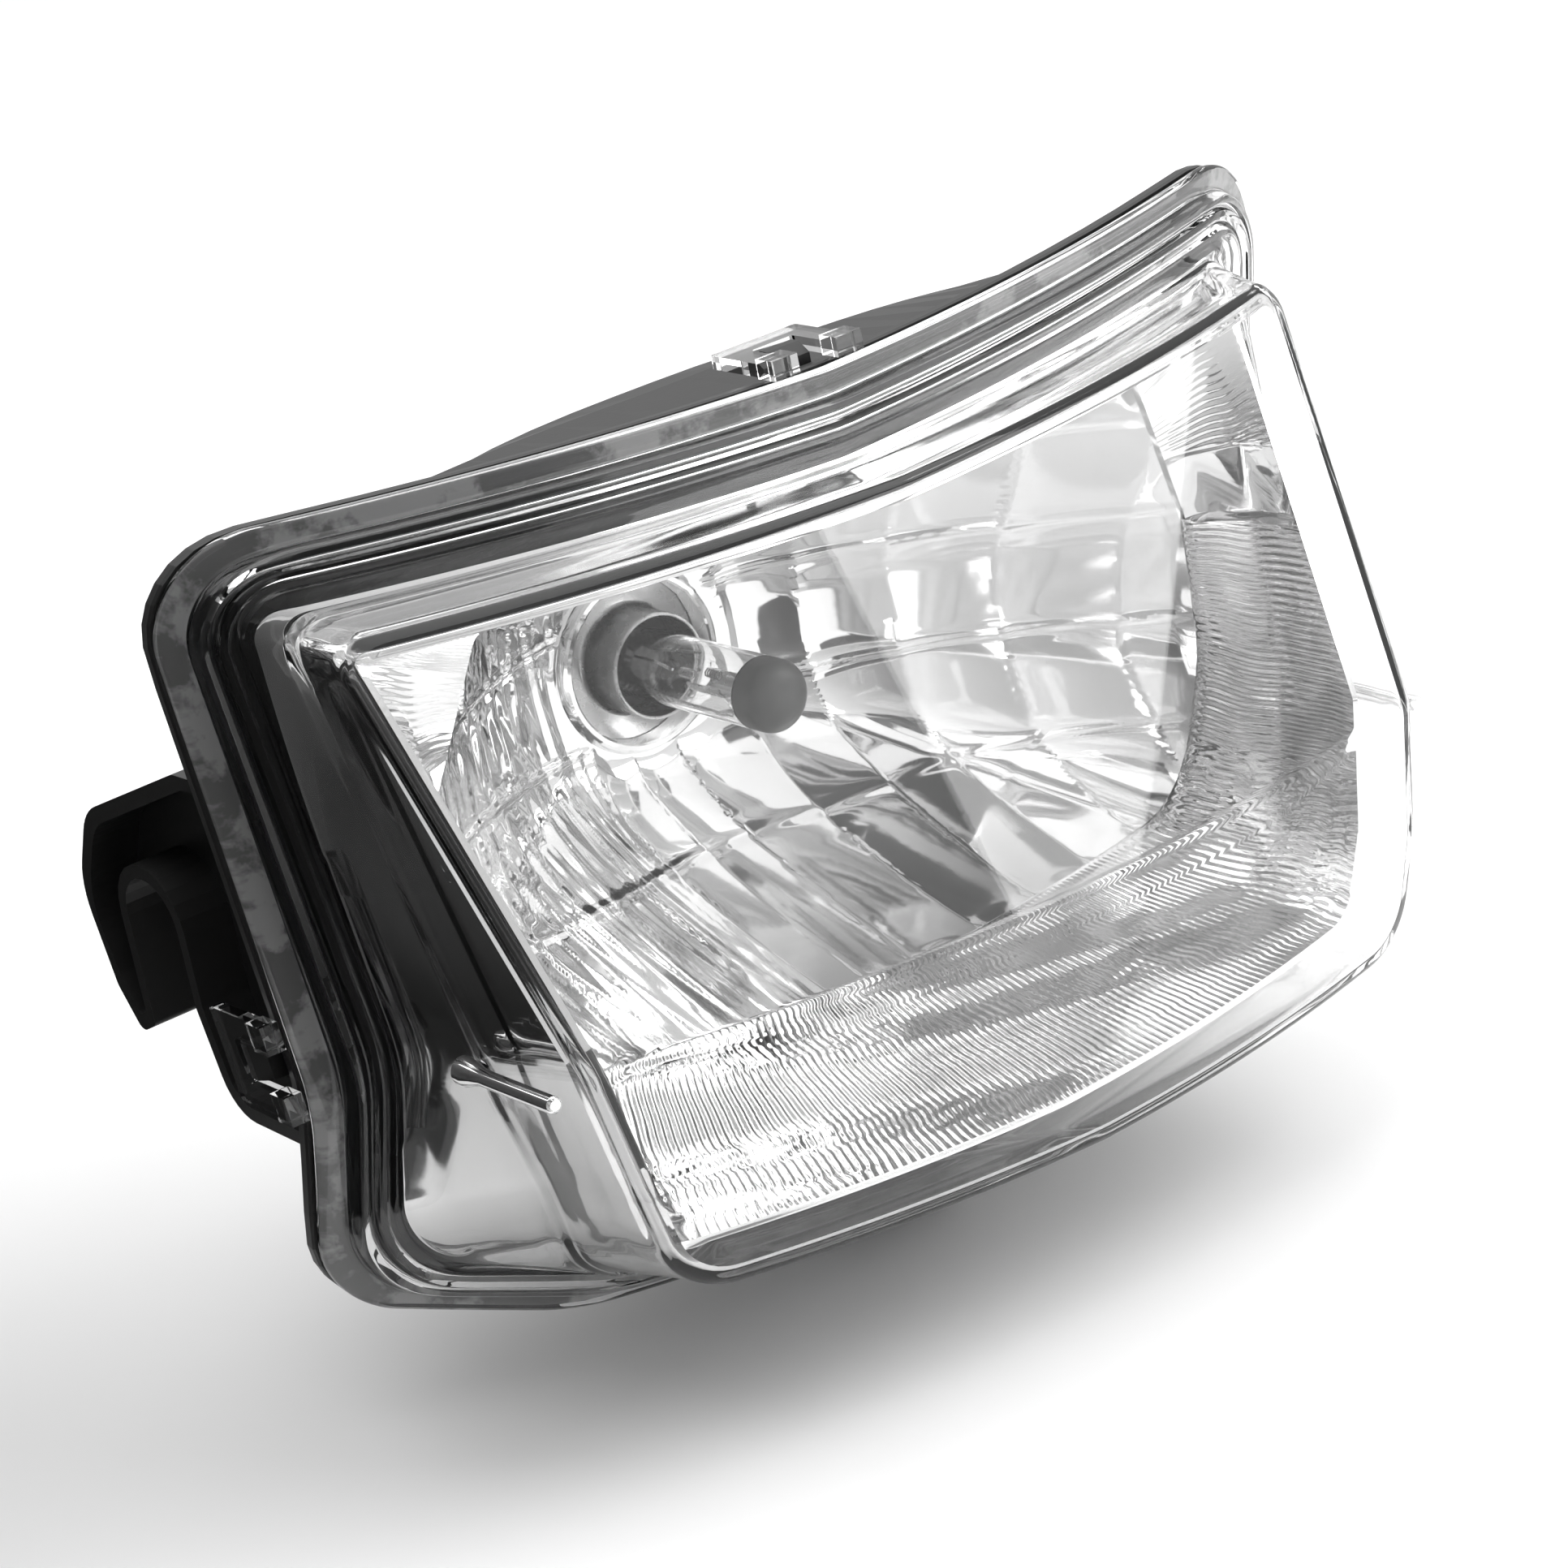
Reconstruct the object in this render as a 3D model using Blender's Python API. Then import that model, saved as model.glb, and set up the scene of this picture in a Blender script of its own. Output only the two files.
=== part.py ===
"""Single-bulb headlight: clear stepped lens, black shell, mirror bowl and a two-filament bulb.

Metres, +Z up, the lamp shines towards -Y. The origin is the middle of the foot of the lug under
the shell. Sizes below are drawn in millimetres from the bulb's axis and the reflector's bulb hole:
the lamp is the same on both sides of X = 0, and outlines are (x, z) from the front, lofted along Y.
"""
import math

import bmesh
import bpy
import numpy as np

# ---- driving sizes, in millimetres -------------------------------------------------------------
MM = 0.001
GAP = 0.3                     # clearance between pieces that touch
RAYS = 88                     # points round each lofted outline
BEND_SHARE = 45.0             # extra outline length, per radian, that corners count for

# Lens outline: half-width and height of each corner, with its radius
FLANGE_TOP = 81.0             # flange height above the bulb at the middle
FLANGE_HORN = (151.0, 86.0, 21.0)
FLANGE_WAIST = (134.5, -44.0, 70.0)
FLANGE_FOOT = (139.5, -91.0, 20.0)
FLANGE_CHIN = (88.0, -110.5, 60.0)
FLANGE_BOTTOM = -116.0
PANEL_TOP = 66.5              # inner edge of the ridges, where the sloped panel starts
PANEL_HORN = (137.0, 72.5, 10.0)
PANEL_WAIST = (119.5, -38.0, 60.0)
PANEL_FOOT = (126.0, -85.0, 18.0)
PANEL_CHIN = (80.0, -101.5, 50.0)
PANEL_BOTTOM = -108.0
DOME_TOP = 62.0               # where the dome leaves the panel
DOME_HORN = (129.0, 66.0, 8.0)
DOME_WAIST = (117.0, -38.0, 60.0)
DOME_FOOT = (100.0, -94.0, 24.0)
DOME_BOTTOM = -103.0
FACE_TOP = 59.5               # edge of the dome's front face
FACE_HORN = (127.0, 62.5, 7.0)
FACE_UPPER_CREASE = (113.5, -28.4, 40.0)
FACE_LOWER_CREASE = (108.0, -57.0, 30.0)
FACE_FOOT = (101.0, -83.0, 17.0)
FACE_BOTTOM = -86.0

# Depths along Y (the lamp's front is towards -Y)
BULGE = 15.0                  # how far a point 100 mm off centre is swept back
FLANGE_Y = -96.0              # flange front at the top of the middle
FLANGE_TILT = 0.115           # flange leans back towards the bottom
FLANGE_THICK = 3.0
LENS_WALL = 3.0
RIDGE_HEIGHT = 4.0
DOME_Y = ((-103.0, -93.0), (-82.0, -107.0), (-64.0, -113.0), (-32.0, -117.5), (66.0, -98.0))
FACE_Y = ((-86.0, -146.0), (-57.0, -151.0), (-28.4, -151.7), (62.0, -117.0))
FACE_ROUND = 4.0              # rounding between the front face and the dome's side
PIN_R = 1.9                   # side pins on the lens
PIN_LENGTH = 28.0
PIN_X, PIN_Z = 119.2, -32.4
PIN_TIP_Y = -127.0

# Seal and shell
SEAL_THICK = 1.4
SEAL_INSET, SEAL_WIDTH = 2.5, 5.0
SHELL_WALL = 2.5
RIM_DEPTH = 4.0               # depth of the shell's edge behind the flange
RIM_STEP = 9.0                # how far the shell steps in behind its edge
SHELL_MID = (108.0, 68.0, -92.0, -20.0)      # half-width, top, bottom and Y of the shell's mid section
SHELL_FLARE = (21.0, 9.0, -21.0)          # how far the shell stands out round the neck: sides, top, bottom
SHELL_REAR_Y = 18.0
NECK_R = 45.0                 # inner radius of the round rear opening
NECK_WALL = 2.6
NECK_FRONT, NECK_BACK = 21.0, 29.0

# Hook arms, drawn from the side as (y, z, radius)
ARM_IN, ARM_OUT = 116.2, 131.3
ARM_WEB = 3.0
ARM_RIM = 3.2
SLOT_TOP, SLOT_R, SLOT_Y = -5.5, 11.0, 8.5
ARM_TOP, ARM_FOOT = 24.5, -58.5           # where the arm's upper and lower edges meet the shell's rim
ARM_SETBACK = 1.2             # how far behind the rim's front face the arm starts
ARM_OUTLINE = ((-18.0, 24.0, 6), (28.5, 7.0, 16), (39.5, -12.5, 18), (33.5, -36.0, 6), (26.5, -46.0, 3),
               (19.5, -43.0, 1.5), (SLOT_Y + SLOT_R, SLOT_TOP, 10.9), (SLOT_Y - SLOT_R, SLOT_TOP, 10.9),
               (-2.5, -33.5, 8), (-9.5, -57.5, 12))
LUG_W, LUG_DROP = 24.0, 8.5   # wedge under the middle of the shell
FOOT = (0.0, -54.0, FLANGE_BOTTOM - LUG_DROP)         # where the object's origin is
BULB_AXIS = (0.0, 0.0, 0.0)

# Snap clips on the lens
CLIP_W, CLIP_LEG, CLIP_THICK = 23.0, 6.0, 3.0
CLIP_REACH = 22.0
CLIP_BAR = 7.0
CLIP_BLOCK = 4.6
CLIP_FLEX = 1.2               # room between the window and the wedge it snaps over
SIDE_CLIP_Z = -35.0

# Inner frame (bezel) and mirror bowl
BEZEL_WALL = 2.2
BEZEL_LIP = 16.0              # lip's distance behind the front face
BOWL_TOP = 50.0
BOWL_HORN = (88.0, 52.0, 6.0)
BOWL_CHEEK = (105.0, 8.0, 30.0)
BOWL_JAW = (108.0, -26.0, 30.0)
BOWL_FOOT = (96.0, -58.0, 22.0)
BOWL_BOTTOM = -61.0
BOWL_RIM_Y = ((-61.0, -80.0), (50.0, -94.0))
BOWL_WALL = 2.2
BOWL_POWER = 1.75
HOLE_R = 19.0                 # bulb hole
HOLE_LIP = 2.5
SEAT_Y = 6.0
LAND_R = 37.0

# Bulb
COLLAR_R, COLLAR_THICK = 21.5, 1.2
SLEEVE_R, SLEEVE_FRONT, SLEEVE_WALL = 12.4, -7.0, 0.8
GLASS_R, GLASS_WALL = 8.4, 0.9
GLASS_TIP_Y = -56.0
PAINT_LENGTH, PAINT_WALL = 9.0, 0.35
BASE_R, BASE_BACK = 14.0, 35.0
BLADE_W, BLADE_THICK, BLADE_LENGTH = 7.8, 0.8, 10.0
FILAMENT_R, FILAMENT_WIRE = 1.0, 0.32

# Bulb retainer
HOLDER_THICK, HOLDER_OUT_R = 1.2, 36.0
WIRE_R = 0.9
WIRE_X = 23.2
HINGE_Z = 30.0
PRESS_X = 15.4
TIP_Z = -30.0
EAR_W, EAR_R = 3.0, 3.0
SCREW_R, SCREW_HEAD_R, SCREW_PITCH_R = 1.4, 2.8, 29.0

# Boot
BOOT_WALL = 3.0
HUB_LENGTH = 12.0

# Vent
SPIGOT_R, SPIGOT_BACK, SPIGOT_BORE = 4.0, 34.0, 2.4
VENT_WALL, VENT_LENGTH = 2.0, 15.0
VENT_CLEAR, VENT_ANGLE = 8.1, math.radians(27.35)     # space between boot and cap, and the spigot's direction
VENT_REACH = NECK_R + NECK_WALL + BOOT_WALL + SPIGOT_R + VENT_WALL + 2 * GAP + VENT_CLEAR
SPIGOT_X, SPIGOT_Z = VENT_REACH * math.cos(VENT_ANGLE), VENT_REACH * math.sin(VENT_ANGLE)

COLOURS = {
    "clear": (0.86, 0.88, 0.9, 0.08, 0.0), "black": (0.012, 0.012, 0.013, 0.45, 0.0),
    "rubber": (0.02, 0.02, 0.021, 0.75, 0.0), "mirror": (0.86, 0.87, 0.88, 0.08, 1.0),
    "steel": (0.62, 0.62, 0.64, 0.3, 1.0), "paint": (0.05, 0.05, 0.055, 0.5, 0.0),
    "tungsten": (0.3, 0.3, 0.32, 0.4, 1.0), "base": (0.03, 0.03, 0.032, 0.5, 0.0),
    "brass": (0.66, 0.6, 0.42, 0.35, 1.0),
}

for stale in list(bpy.data.objects):
    bpy.data.objects.remove(stale, do_unlink=True)


# ---- helpers -------------------------------------------------------------------------------------
def material(name, colour):
    mat = bpy.data.materials.new(name)
    mat.use_nodes = True
    shader = mat.node_tree.nodes["Principled BSDF"]
    red, green, blue, rough, metal = COLOURS[colour]
    shader.inputs["Base Color"].default_value = (red, green, blue, 1.0)
    shader.inputs["Roughness"].default_value = rough
    shader.inputs["Metallic"].default_value = metal
    mat.diffuse_color = (red, green, blue, 1.0)
    return mat


def finish(bm, name, colour, smooth=True, pivot=None):
    """Turns a bmesh in millimetres into an object in metres, its own origin at pivot."""
    pivot = FOOT if pivot is None else pivot
    bmesh.ops.translate(bm, vec=[-c for c in pivot], verts=bm.verts)
    bmesh.ops.recalc_face_normals(bm, faces=bm.faces)
    if bm.calc_volume(signed=True) < 0:
        bmesh.ops.reverse_faces(bm, faces=bm.faces)
    bmesh.ops.scale(bm, vec=(MM, MM, MM), verts=bm.verts)
    mesh = bpy.data.meshes.new(name)
    bm.to_mesh(mesh)
    bm.free()
    mesh.materials.append(material(name, colour))
    for face in mesh.polygons:
        face.use_smooth = smooth
    obj = bpy.data.objects.new(name, mesh)
    obj.location = [(p - f) * MM for p, f in zip(pivot, FOOT)]
    bpy.context.scene.collection.objects.link(obj)
    return obj


def cutter(bm, name):
    obj = finish(bm, name, "black", smooth=False)
    obj.hide_render = True
    obj.display_type = "WIRE"
    return obj


def boolean(obj, other, operation):
    mod = obj.modifiers.new(other.name, "BOOLEAN")
    mod.operation = operation
    mod.solver = "EXACT"
    mod.object = other


def tidy(obj):
    """Joins the near-coincident points that a run of Booleans leaves."""
    weld = obj.modifiers.new("tidy", "WELD")
    weld.merge_threshold = 0.02 * MM
    return obj


def rounded(corners, arc_points=7):
    """A closed outline from (a, b, radius) corners, each rounded by an arc."""
    points = []
    count = len(corners)
    for i, (a, b, radius) in enumerate(corners):
        here = np.array([a, b], float)
        back = np.array(corners[i - 1][:2], float) - here
        ahead = np.array(corners[(i + 1) % count][:2], float) - here
        back_len, ahead_len = np.linalg.norm(back), np.linalg.norm(ahead)
        back, ahead = back / back_len, ahead / ahead_len
        half = 0.5 * math.acos(max(-1.0, min(1.0, float(back @ ahead))))
        if radius <= 0 or half > math.pi / 2 - 0.01:
            points.append(here)
            continue
        reach = min(radius / math.tan(half), 0.49 * back_len, 0.49 * ahead_len)
        radius = reach * math.tan(half)
        centre = here + (back + ahead) / np.linalg.norm(back + ahead) * radius / math.sin(half)
        first, last = here + back * reach - centre, here + ahead * reach - centre
        start = math.atan2(first[1], first[0])
        turn = (math.atan2(last[1], last[0]) - start + math.pi) % (2 * math.pi) - math.pi
        for step in range(arc_points + 1):
            angle = start + turn * step / arc_points
            points.append(centre + radius * np.array([math.cos(angle), math.sin(angle)]))
    return np.array(points)


def mirrored(top, bottom, *right):
    """The whole outline from its right-hand corners, clockwise from the top of the middle."""
    left = [(-x, z, r) for x, z, r in reversed(right)]
    return rounded([(0.0, top, 0.0), *right, (0.0, bottom, 0.0), *left])


def polar(points, angles):
    """Radius of a star-shaped outline at each angle round the bulb's axis."""
    theta = np.arctan2(points[:, 1], points[:, 0])
    radius = np.hypot(points[:, 0], points[:, 1])
    order = np.argsort(theta)
    theta, radius = theta[order], radius[order]
    theta = np.concatenate([theta - 2 * np.pi, theta, theta + 2 * np.pi])
    radius = np.tile(radius, 3)
    # Straight runs stay straight: each angle is put on the chord between its two neighbours
    found = np.searchsorted(theta, angles)
    t0, t1, r0, r1 = theta[found - 1], theta[found], radius[found - 1], radius[found]
    return r0 * r1 * np.sin(t1 - t0) / (r1 * np.sin(t1 - angles) + r0 * np.sin(angles - t0))


def spread(points, count):
    """Angles shared out along the outline, closer together where it bends, and the same left and right."""
    run = np.roll(points, -1, 0) - points
    heading = np.arctan2(run[:, 1], run[:, 0])
    turn = np.abs((heading - np.roll(heading, 1) + np.pi) % (2 * np.pi) - np.pi)
    weight = np.hypot(*run.T) + BEND_SHARE * 0.5 * (turn + np.roll(turn, -1))
    dense = np.concatenate([points, points[:1]])
    along = np.concatenate([[0], np.cumsum(weight)])
    at = (np.arange(count) + 0.5) * along[-1] / count
    x, z = (np.interp(at, along, dense[:, k]) for k in (0, 1))
    return np.sort(np.arctan2(z, x))


def offset(radius, distance):
    """The polar outline moved outwards by distance (inwards if negative)."""
    points = np.stack([radius * np.cos(ANGLES), radius * np.sin(ANGLES)], 1)
    tangent = np.roll(points, -1, 0) - np.roll(points, 1, 0)
    tangent /= np.linalg.norm(tangent, axis=1)[:, None]
    moved = points + distance * np.stack([tangent[:, 1], -tangent[:, 0]], 1)
    return polar(moved, ANGLES)


def ellipse(half_width, top, bottom):
    cos, sin = np.cos(ANGLES), np.sin(ANGLES)
    height = np.where(sin > 0, top, -bottom)
    return 1.0 / ((np.abs(cos) / half_width) ** 2.8 + (np.abs(sin) / height) ** 2.8) ** (1 / 2.8)


def ring(radius, depth, bulge=1.0):
    """A loop of points: radius per angle, depth a number or a function of z, swept back at the sides."""
    x, z = radius * np.cos(ANGLES), radius * np.sin(ANGLES)
    y = (depth(z) if callable(depth) else np.full_like(x, depth)) + bulge * BULGE * (x / 100.0) ** 2
    return np.stack([x, y, z], 1)


def skin(loops, closed=False, first=None, last=None):
    """Quads between neighbouring loops, closed into a tube ring or capped by points at its ends."""
    bm = bmesh.new()
    rows = [[bm.verts.new(p) for p in loop] for loop in loops]
    count = len(rows[0])
    pairs = list(zip(rows, rows[1:])) + ([(rows[-1], rows[0])] if closed else [])
    for low, high in pairs:
        for i in range(count):
            j = (i + 1) % count
            bm.faces.new((low[i], low[j], high[j], high[i]))
    for row, point in ((rows[0], first), (rows[-1], last)):
        if point is None:
            continue
        tip = bm.verts.new(point)
        for i in range(count):
            bm.faces.new((row[i], row[(i + 1) % count], tip))
    return bm


def turned(profile, centre=(0.0, 0.0), steps=40):
    """A solid of revolution from a closed (radius, y) profile; a radius of 0 closes on the axis."""
    bm = bmesh.new()
    rows = []
    for radius, y in profile:
        if radius == 0:
            rows.append([bm.verts.new((centre[0], y, centre[1]))])
            continue
        rows.append([bm.verts.new((centre[0] + radius * math.cos(a), y, centre[1] + radius * math.sin(a)))
                     for a in (2 * math.pi * (k + 0.5) / steps for k in range(steps))])
    for low, high in zip(rows, rows[1:] + rows[:1]):
        for i in range(steps):
            j = (i + 1) % steps
            if len(low) == 1 and len(high) == 1:
                break
            if len(low) == 1:
                bm.faces.new((low[0], high[j], high[i]))
            elif len(high) == 1:
                bm.faces.new((low[i], low[j], high[0]))
            else:
                bm.faces.new((low[i], low[j], high[j], high[i]))
    return bm


def prism(outline, low, high, axis="X"):
    """An outline extruded along an axis: (y, z) along X, or (x, z) along Y, or (x, y) along Z."""
    bm = bmesh.new()
    place = {"X": lambda a, b, h: (h, a, b), "Y": lambda a, b, h: (a, h, b), "Z": lambda a, b, h: (a, b, h)}[axis]
    bottom = [bm.verts.new(place(a, b, low)) for a, b in outline]
    top = [bm.verts.new(place(a, b, high)) for a, b in outline]
    bm.faces.new(bottom)
    bm.faces.new(top)
    for i in range(len(outline)):
        j = (i + 1) % len(outline)
        bm.faces.new((bottom[i], bottom[j], top[j], top[i]))
    bm.normal_update()
    bmesh.ops.triangulate(bm, faces=[f for f in bm.faces if len(f.verts) > 4])
    return bm


def box(low, high):
    return prism([(low[0], low[1]), (high[0], low[1]), (high[0], high[1]), (low[0], high[1])],
                 low[2], high[2], axis="Z")


def tube(path, radius, sides=10):
    """A round bar along a path of points, with flat ends and mitred bends."""
    path = [np.array(p, float) for p in path]
    bm = bmesh.new()
    rows = []
    for i, point in enumerate(path):
        back = point - path[i - 1] if i else path[1] - path[0]
        ahead = path[i + 1] - point if i + 1 < len(path) else back
        back, ahead = back / np.linalg.norm(back), ahead / np.linalg.norm(ahead)
        along = (back + ahead) / np.linalg.norm(back + ahead)
        if i == 0:
            side = np.cross(along, (0.31, 0.52, 0.8))
        side = side - along * float(side @ along)
        side /= np.linalg.norm(side)
        other = np.cross(along, side)
        rows.append([bm.verts.new(point + radius * (math.cos(a) * side + math.sin(a) * other))
                     for a in (2 * math.pi * k / sides for k in range(sides))])
    for low, high in zip(rows, rows[1:]):
        for i in range(sides):
            j = (i + 1) % sides
            bm.faces.new((low[i], low[j], high[j], high[i]))
    bm.faces.new(rows[0])
    bm.faces.new(rows[-1])
    bmesh.ops.triangulate(bm, faces=[f for f in bm.faces if len(f.verts) > 4])
    return bm


def table(pairs):
    heights, depths = zip(*pairs)
    return lambda z: np.interp(z, heights, depths)


def behind(depth, distance):
    return lambda z: depth(z) + distance


# ---- outlines and depths -------------------------------------------------------------------------
flange_line = mirrored(FLANGE_TOP, FLANGE_BOTTOM, FLANGE_HORN, FLANGE_WAIST, FLANGE_FOOT, FLANGE_CHIN)
ANGLES = spread(flange_line, RAYS)
flange = polar(flange_line, ANGLES)
panel = polar(mirrored(PANEL_TOP, PANEL_BOTTOM, PANEL_HORN, PANEL_WAIST, PANEL_FOOT, PANEL_CHIN), ANGLES)
dome = polar(mirrored(DOME_TOP, DOME_BOTTOM, DOME_HORN, DOME_WAIST, DOME_FOOT), ANGLES)
face = polar(mirrored(FACE_TOP, FACE_BOTTOM, FACE_HORN, FACE_UPPER_CREASE, FACE_LOWER_CREASE, FACE_FOOT),
             ANGLES)
bowl = polar(mirrored(BOWL_TOP, BOWL_BOTTOM, BOWL_HORN, BOWL_CHEEK, BOWL_JAW, BOWL_FOOT), ANGLES)


def flange_y(z):
    return FLANGE_Y + FLANGE_TILT * (FLANGE_TOP - z)


dome_y, face_y, rim_y = table(DOME_Y), table(FACE_Y), table(BOWL_RIM_Y)


def blend(a, b, share):
    return a + (b - a) * share


# ---- lens ----------------------------------------------------------------------------------------
def make_lens():
    ridge = offset(panel, 4.0)
    outer = [
        ring(flange, behind(flange_y, FLANGE_THICK)),
        ring(flange, behind(flange_y, 0.8)),
        ring(offset(flange, -0.8), flange_y),
        ring(blend(flange, ridge, 0.5), flange_y),
        ring(blend(flange, ridge, 0.62), behind(flange_y, -RIDGE_HEIGHT + 1.2)),
        ring(blend(flange, ridge, 0.74), behind(flange_y, -RIDGE_HEIGHT)),
        ring(blend(flange, ridge, 0.88), behind(flange_y, -RIDGE_HEIGHT + 0.6)),
        ring(ridge, behind(flange_y, -RIDGE_HEIGHT - 1.0)),
        ring(offset(panel, 1.8), behind(flange_y, -RIDGE_HEIGHT - 0.6)),
        ring(panel, behind(flange_y, -RIDGE_HEIGHT - 0.5)),
        ring(dome, dome_y),
        ring(offset(dome, -1.0), behind(dome_y, -2.2)),
        ring(offset(face, 0.4), behind(face_y, FACE_ROUND)),
        ring(offset(face, -1.0), behind(face_y, 1.2)),
        ring(offset(face, -3.2), face_y),
    ]
    outer += [ring(offset(face, -3.2) * share, face_y) for share in (0.82, 0.62, 0.42, 0.22)]
    inner_face = offset(face, -LENS_WALL - 1.0)
    inner = [ring(inner_face * share, behind(face_y, LENS_WALL)) for share in (0.22, 0.42, 0.62, 0.82, 0.97)]
    inner += [
        ring(offset(face, -LENS_WALL), behind(face_y, LENS_WALL + 3.0)),
        ring(offset(dome, -LENS_WALL - 0.8), behind(dome_y, LENS_WALL - 1.0)),
        ring(offset(panel, -2.6), behind(flange_y, -RIDGE_HEIGHT + LENS_WALL)),
        ring(blend(flange, ridge, 0.9), behind(flange_y, FLANGE_THICK)),
    ]
    centre_y = float(face_y(0.0))
    bm = skin(inner + outer, first=(0, centre_y + LENS_WALL, 0), last=(0, centre_y, 0))
    lens = finish(bm, "lens", "clear")
    for side in (-1, 1):
        pin = turned([(0, PIN_TIP_Y), (PIN_R * 0.8, PIN_TIP_Y), (PIN_R, PIN_TIP_Y + 0.8),
                      (PIN_R, PIN_TIP_Y + PIN_LENGTH), (PIN_R * 2, PIN_TIP_Y + PIN_LENGTH + 7.0),
                      (PIN_R * 2, PIN_TIP_Y + PIN_LENGTH + 11.0), (0, PIN_TIP_Y + PIN_LENGTH + 11.0)],
                     (side * PIN_X, PIN_Z), 16)
        boolean(lens, cutter(pin, f"pin_{side}"), "UNION")
    return tidy(lens)


def make_clip(name, place):
    """A U-shaped snap frame. place(a, b, c): a across it, b back from the flange, c outwards."""
    half, inner, window_end = CLIP_W / 2, CLIP_W / 2 - CLIP_LEG, CLIP_REACH - CLIP_BAR
    outline = [(-half, 0), (-inner, 0), (-inner, window_end), (inner, window_end), (inner, 0), (half, 0),
               (half, CLIP_REACH), (-half, CLIP_REACH)]
    frame = prism(rounded([(a, b, 0.8) for a, b in outline], 2), 0.0, CLIP_THICK, axis="Z")
    for vert in frame.verts:
        vert.co = place(*vert.co)
    clip = finish(frame, name, "clear", smooth=False, pivot=place(0.0, -1.0, CLIP_THICK / 2))
    for side in (-1, 1):
        low, high = sorted((side * (inner - 0.4), side * (half + 0.4)))
        root = box((low, -1.2, -0.2), (high, CLIP_BLOCK, CLIP_THICK + 1.2))
        for vert in root.verts:
            vert.co = place(*vert.co)
        boolean(clip, cutter(root, f"{name}_root_{side}"), "UNION")
    return clip


# ---- seal and shell ------------------------------------------------------------------------------
def make_seal():
    front = behind(flange_y, FLANGE_THICK + GAP)
    back = behind(flange_y, FLANGE_THICK + GAP + SEAL_THICK)
    out, inn = offset(flange, -SEAL_INSET), offset(flange, -SEAL_INSET - SEAL_WIDTH)
    return finish(skin([ring(out, front), ring(inn, front), ring(inn, back), ring(out, back)], closed=True),
                  "lens_seal", "rubber")


def shell_front(distance=0.0):
    return behind(flange_y, FLANGE_THICK + 2 * GAP + SEAL_THICK + distance)


def make_housing():
    mid_w, mid_top, mid_low, mid_y = SHELL_MID
    rear_w, rear_top, rear_low = (NECK_R + SHELL_FLARE[0], NECK_R + SHELL_FLARE[1], SHELL_FLARE[2] - NECK_R)
    rear_y = SHELL_REAR_Y
    mid, rear = ellipse(mid_w, mid_top, mid_low), ellipse(rear_w, rear_top, rear_low)
    circle = np.full_like(ANGLES, NECK_R)
    step = offset(flange, -RIM_STEP)
    wall = SHELL_WALL
    fade = 0.55
    outer = [
        ring(offset(flange, -0.4), shell_front()),
        ring(offset(flange, -0.2), shell_front(1.0)),
        ring(offset(flange, -0.6), shell_front(RIM_DEPTH)),
        ring(step, shell_front(RIM_DEPTH + 1.5)),
        ring(blend(step, mid, 0.12), shell_front(RIM_DEPTH + 8.0), 0.95),
        ring(blend(step, mid, 0.55), -32.0, fade),
        ring(mid, mid_y, 0.2),
        ring(rear, rear_y, 0.0),
        ring(circle + NECK_WALL + 3.0, NECK_FRONT, 0.0),
        ring(circle + NECK_WALL, NECK_FRONT + 1.0, 0.0),
        ring(circle + NECK_WALL, NECK_BACK, 0.0),
    ]
    inner = [
        ring(circle, NECK_BACK, 0.0),
        ring(circle, NECK_FRONT - 1.5, 0.0),
        ring(offset(rear, -wall - 0.8), rear_y - wall, 0.0),
        ring(offset(mid, -wall - 0.4), mid_y - 1.0, 0.2),
        ring(offset(blend(step, mid, 0.55), -wall), -33.0, fade),
        ring(offset(blend(step, mid, 0.12), -wall), shell_front(RIM_DEPTH + 7.0), 0.95),
        ring(offset(step, -wall), shell_front(RIM_DEPTH - 1.0)),
        ring(offset(step, -wall), shell_front()),
    ]
    housing = finish(skin(outer, first=(0, -70.0, 0), last=(0, NECK_BACK, 0)), "housing", "black")
    for side in (-1, 1):
        boolean(housing, arm(side), "UNION")
    lug = prism(rounded([(-66.5, FLANGE_BOTTOM + 12, 0), (-67.5, FLANGE_BOTTOM - 2, 1.5),
                         (-60.0, FLANGE_BOTTOM - LUG_DROP, 1.5), (-48.0, FLANGE_BOTTOM - LUG_DROP, 1.0),
                         (-46.5, FLANGE_BOTTOM + 12, 0)], 3), -LUG_W / 2, LUG_W / 2)
    boolean(housing, cutter(lug, "chin_lug"), "UNION")
    spigot = turned([(0, 2.0), (SPIGOT_R, 2.0), (SPIGOT_R, SPIGOT_BACK), (0, SPIGOT_BACK)],
                    (SPIGOT_X, SPIGOT_Z), 20)
    boolean(housing, cutter(spigot, "spigot"), "UNION")
    for wedge, name in snap_wedges():
        boolean(housing, cutter(wedge, name), "UNION")
    front = ring(offset(step, -wall), shell_front(-12.0))
    hollow = skin([*inner, front], first=(0, NECK_BACK + 3.0, 0), last=(0, -90.0, 0))
    boolean(housing, cutter(hollow, "hollow"), "DIFFERENCE")
    bore = turned([(0, -14.0), (SPIGOT_BORE, -14.0), (SPIGOT_BORE, SPIGOT_BACK + 1), (0, SPIGOT_BACK + 1)],
                  (SPIGOT_X, SPIGOT_Z), 12)
    boolean(housing, cutter(bore, "spigot_bore"), "DIFFERENCE")
    return tidy(housing)


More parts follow.
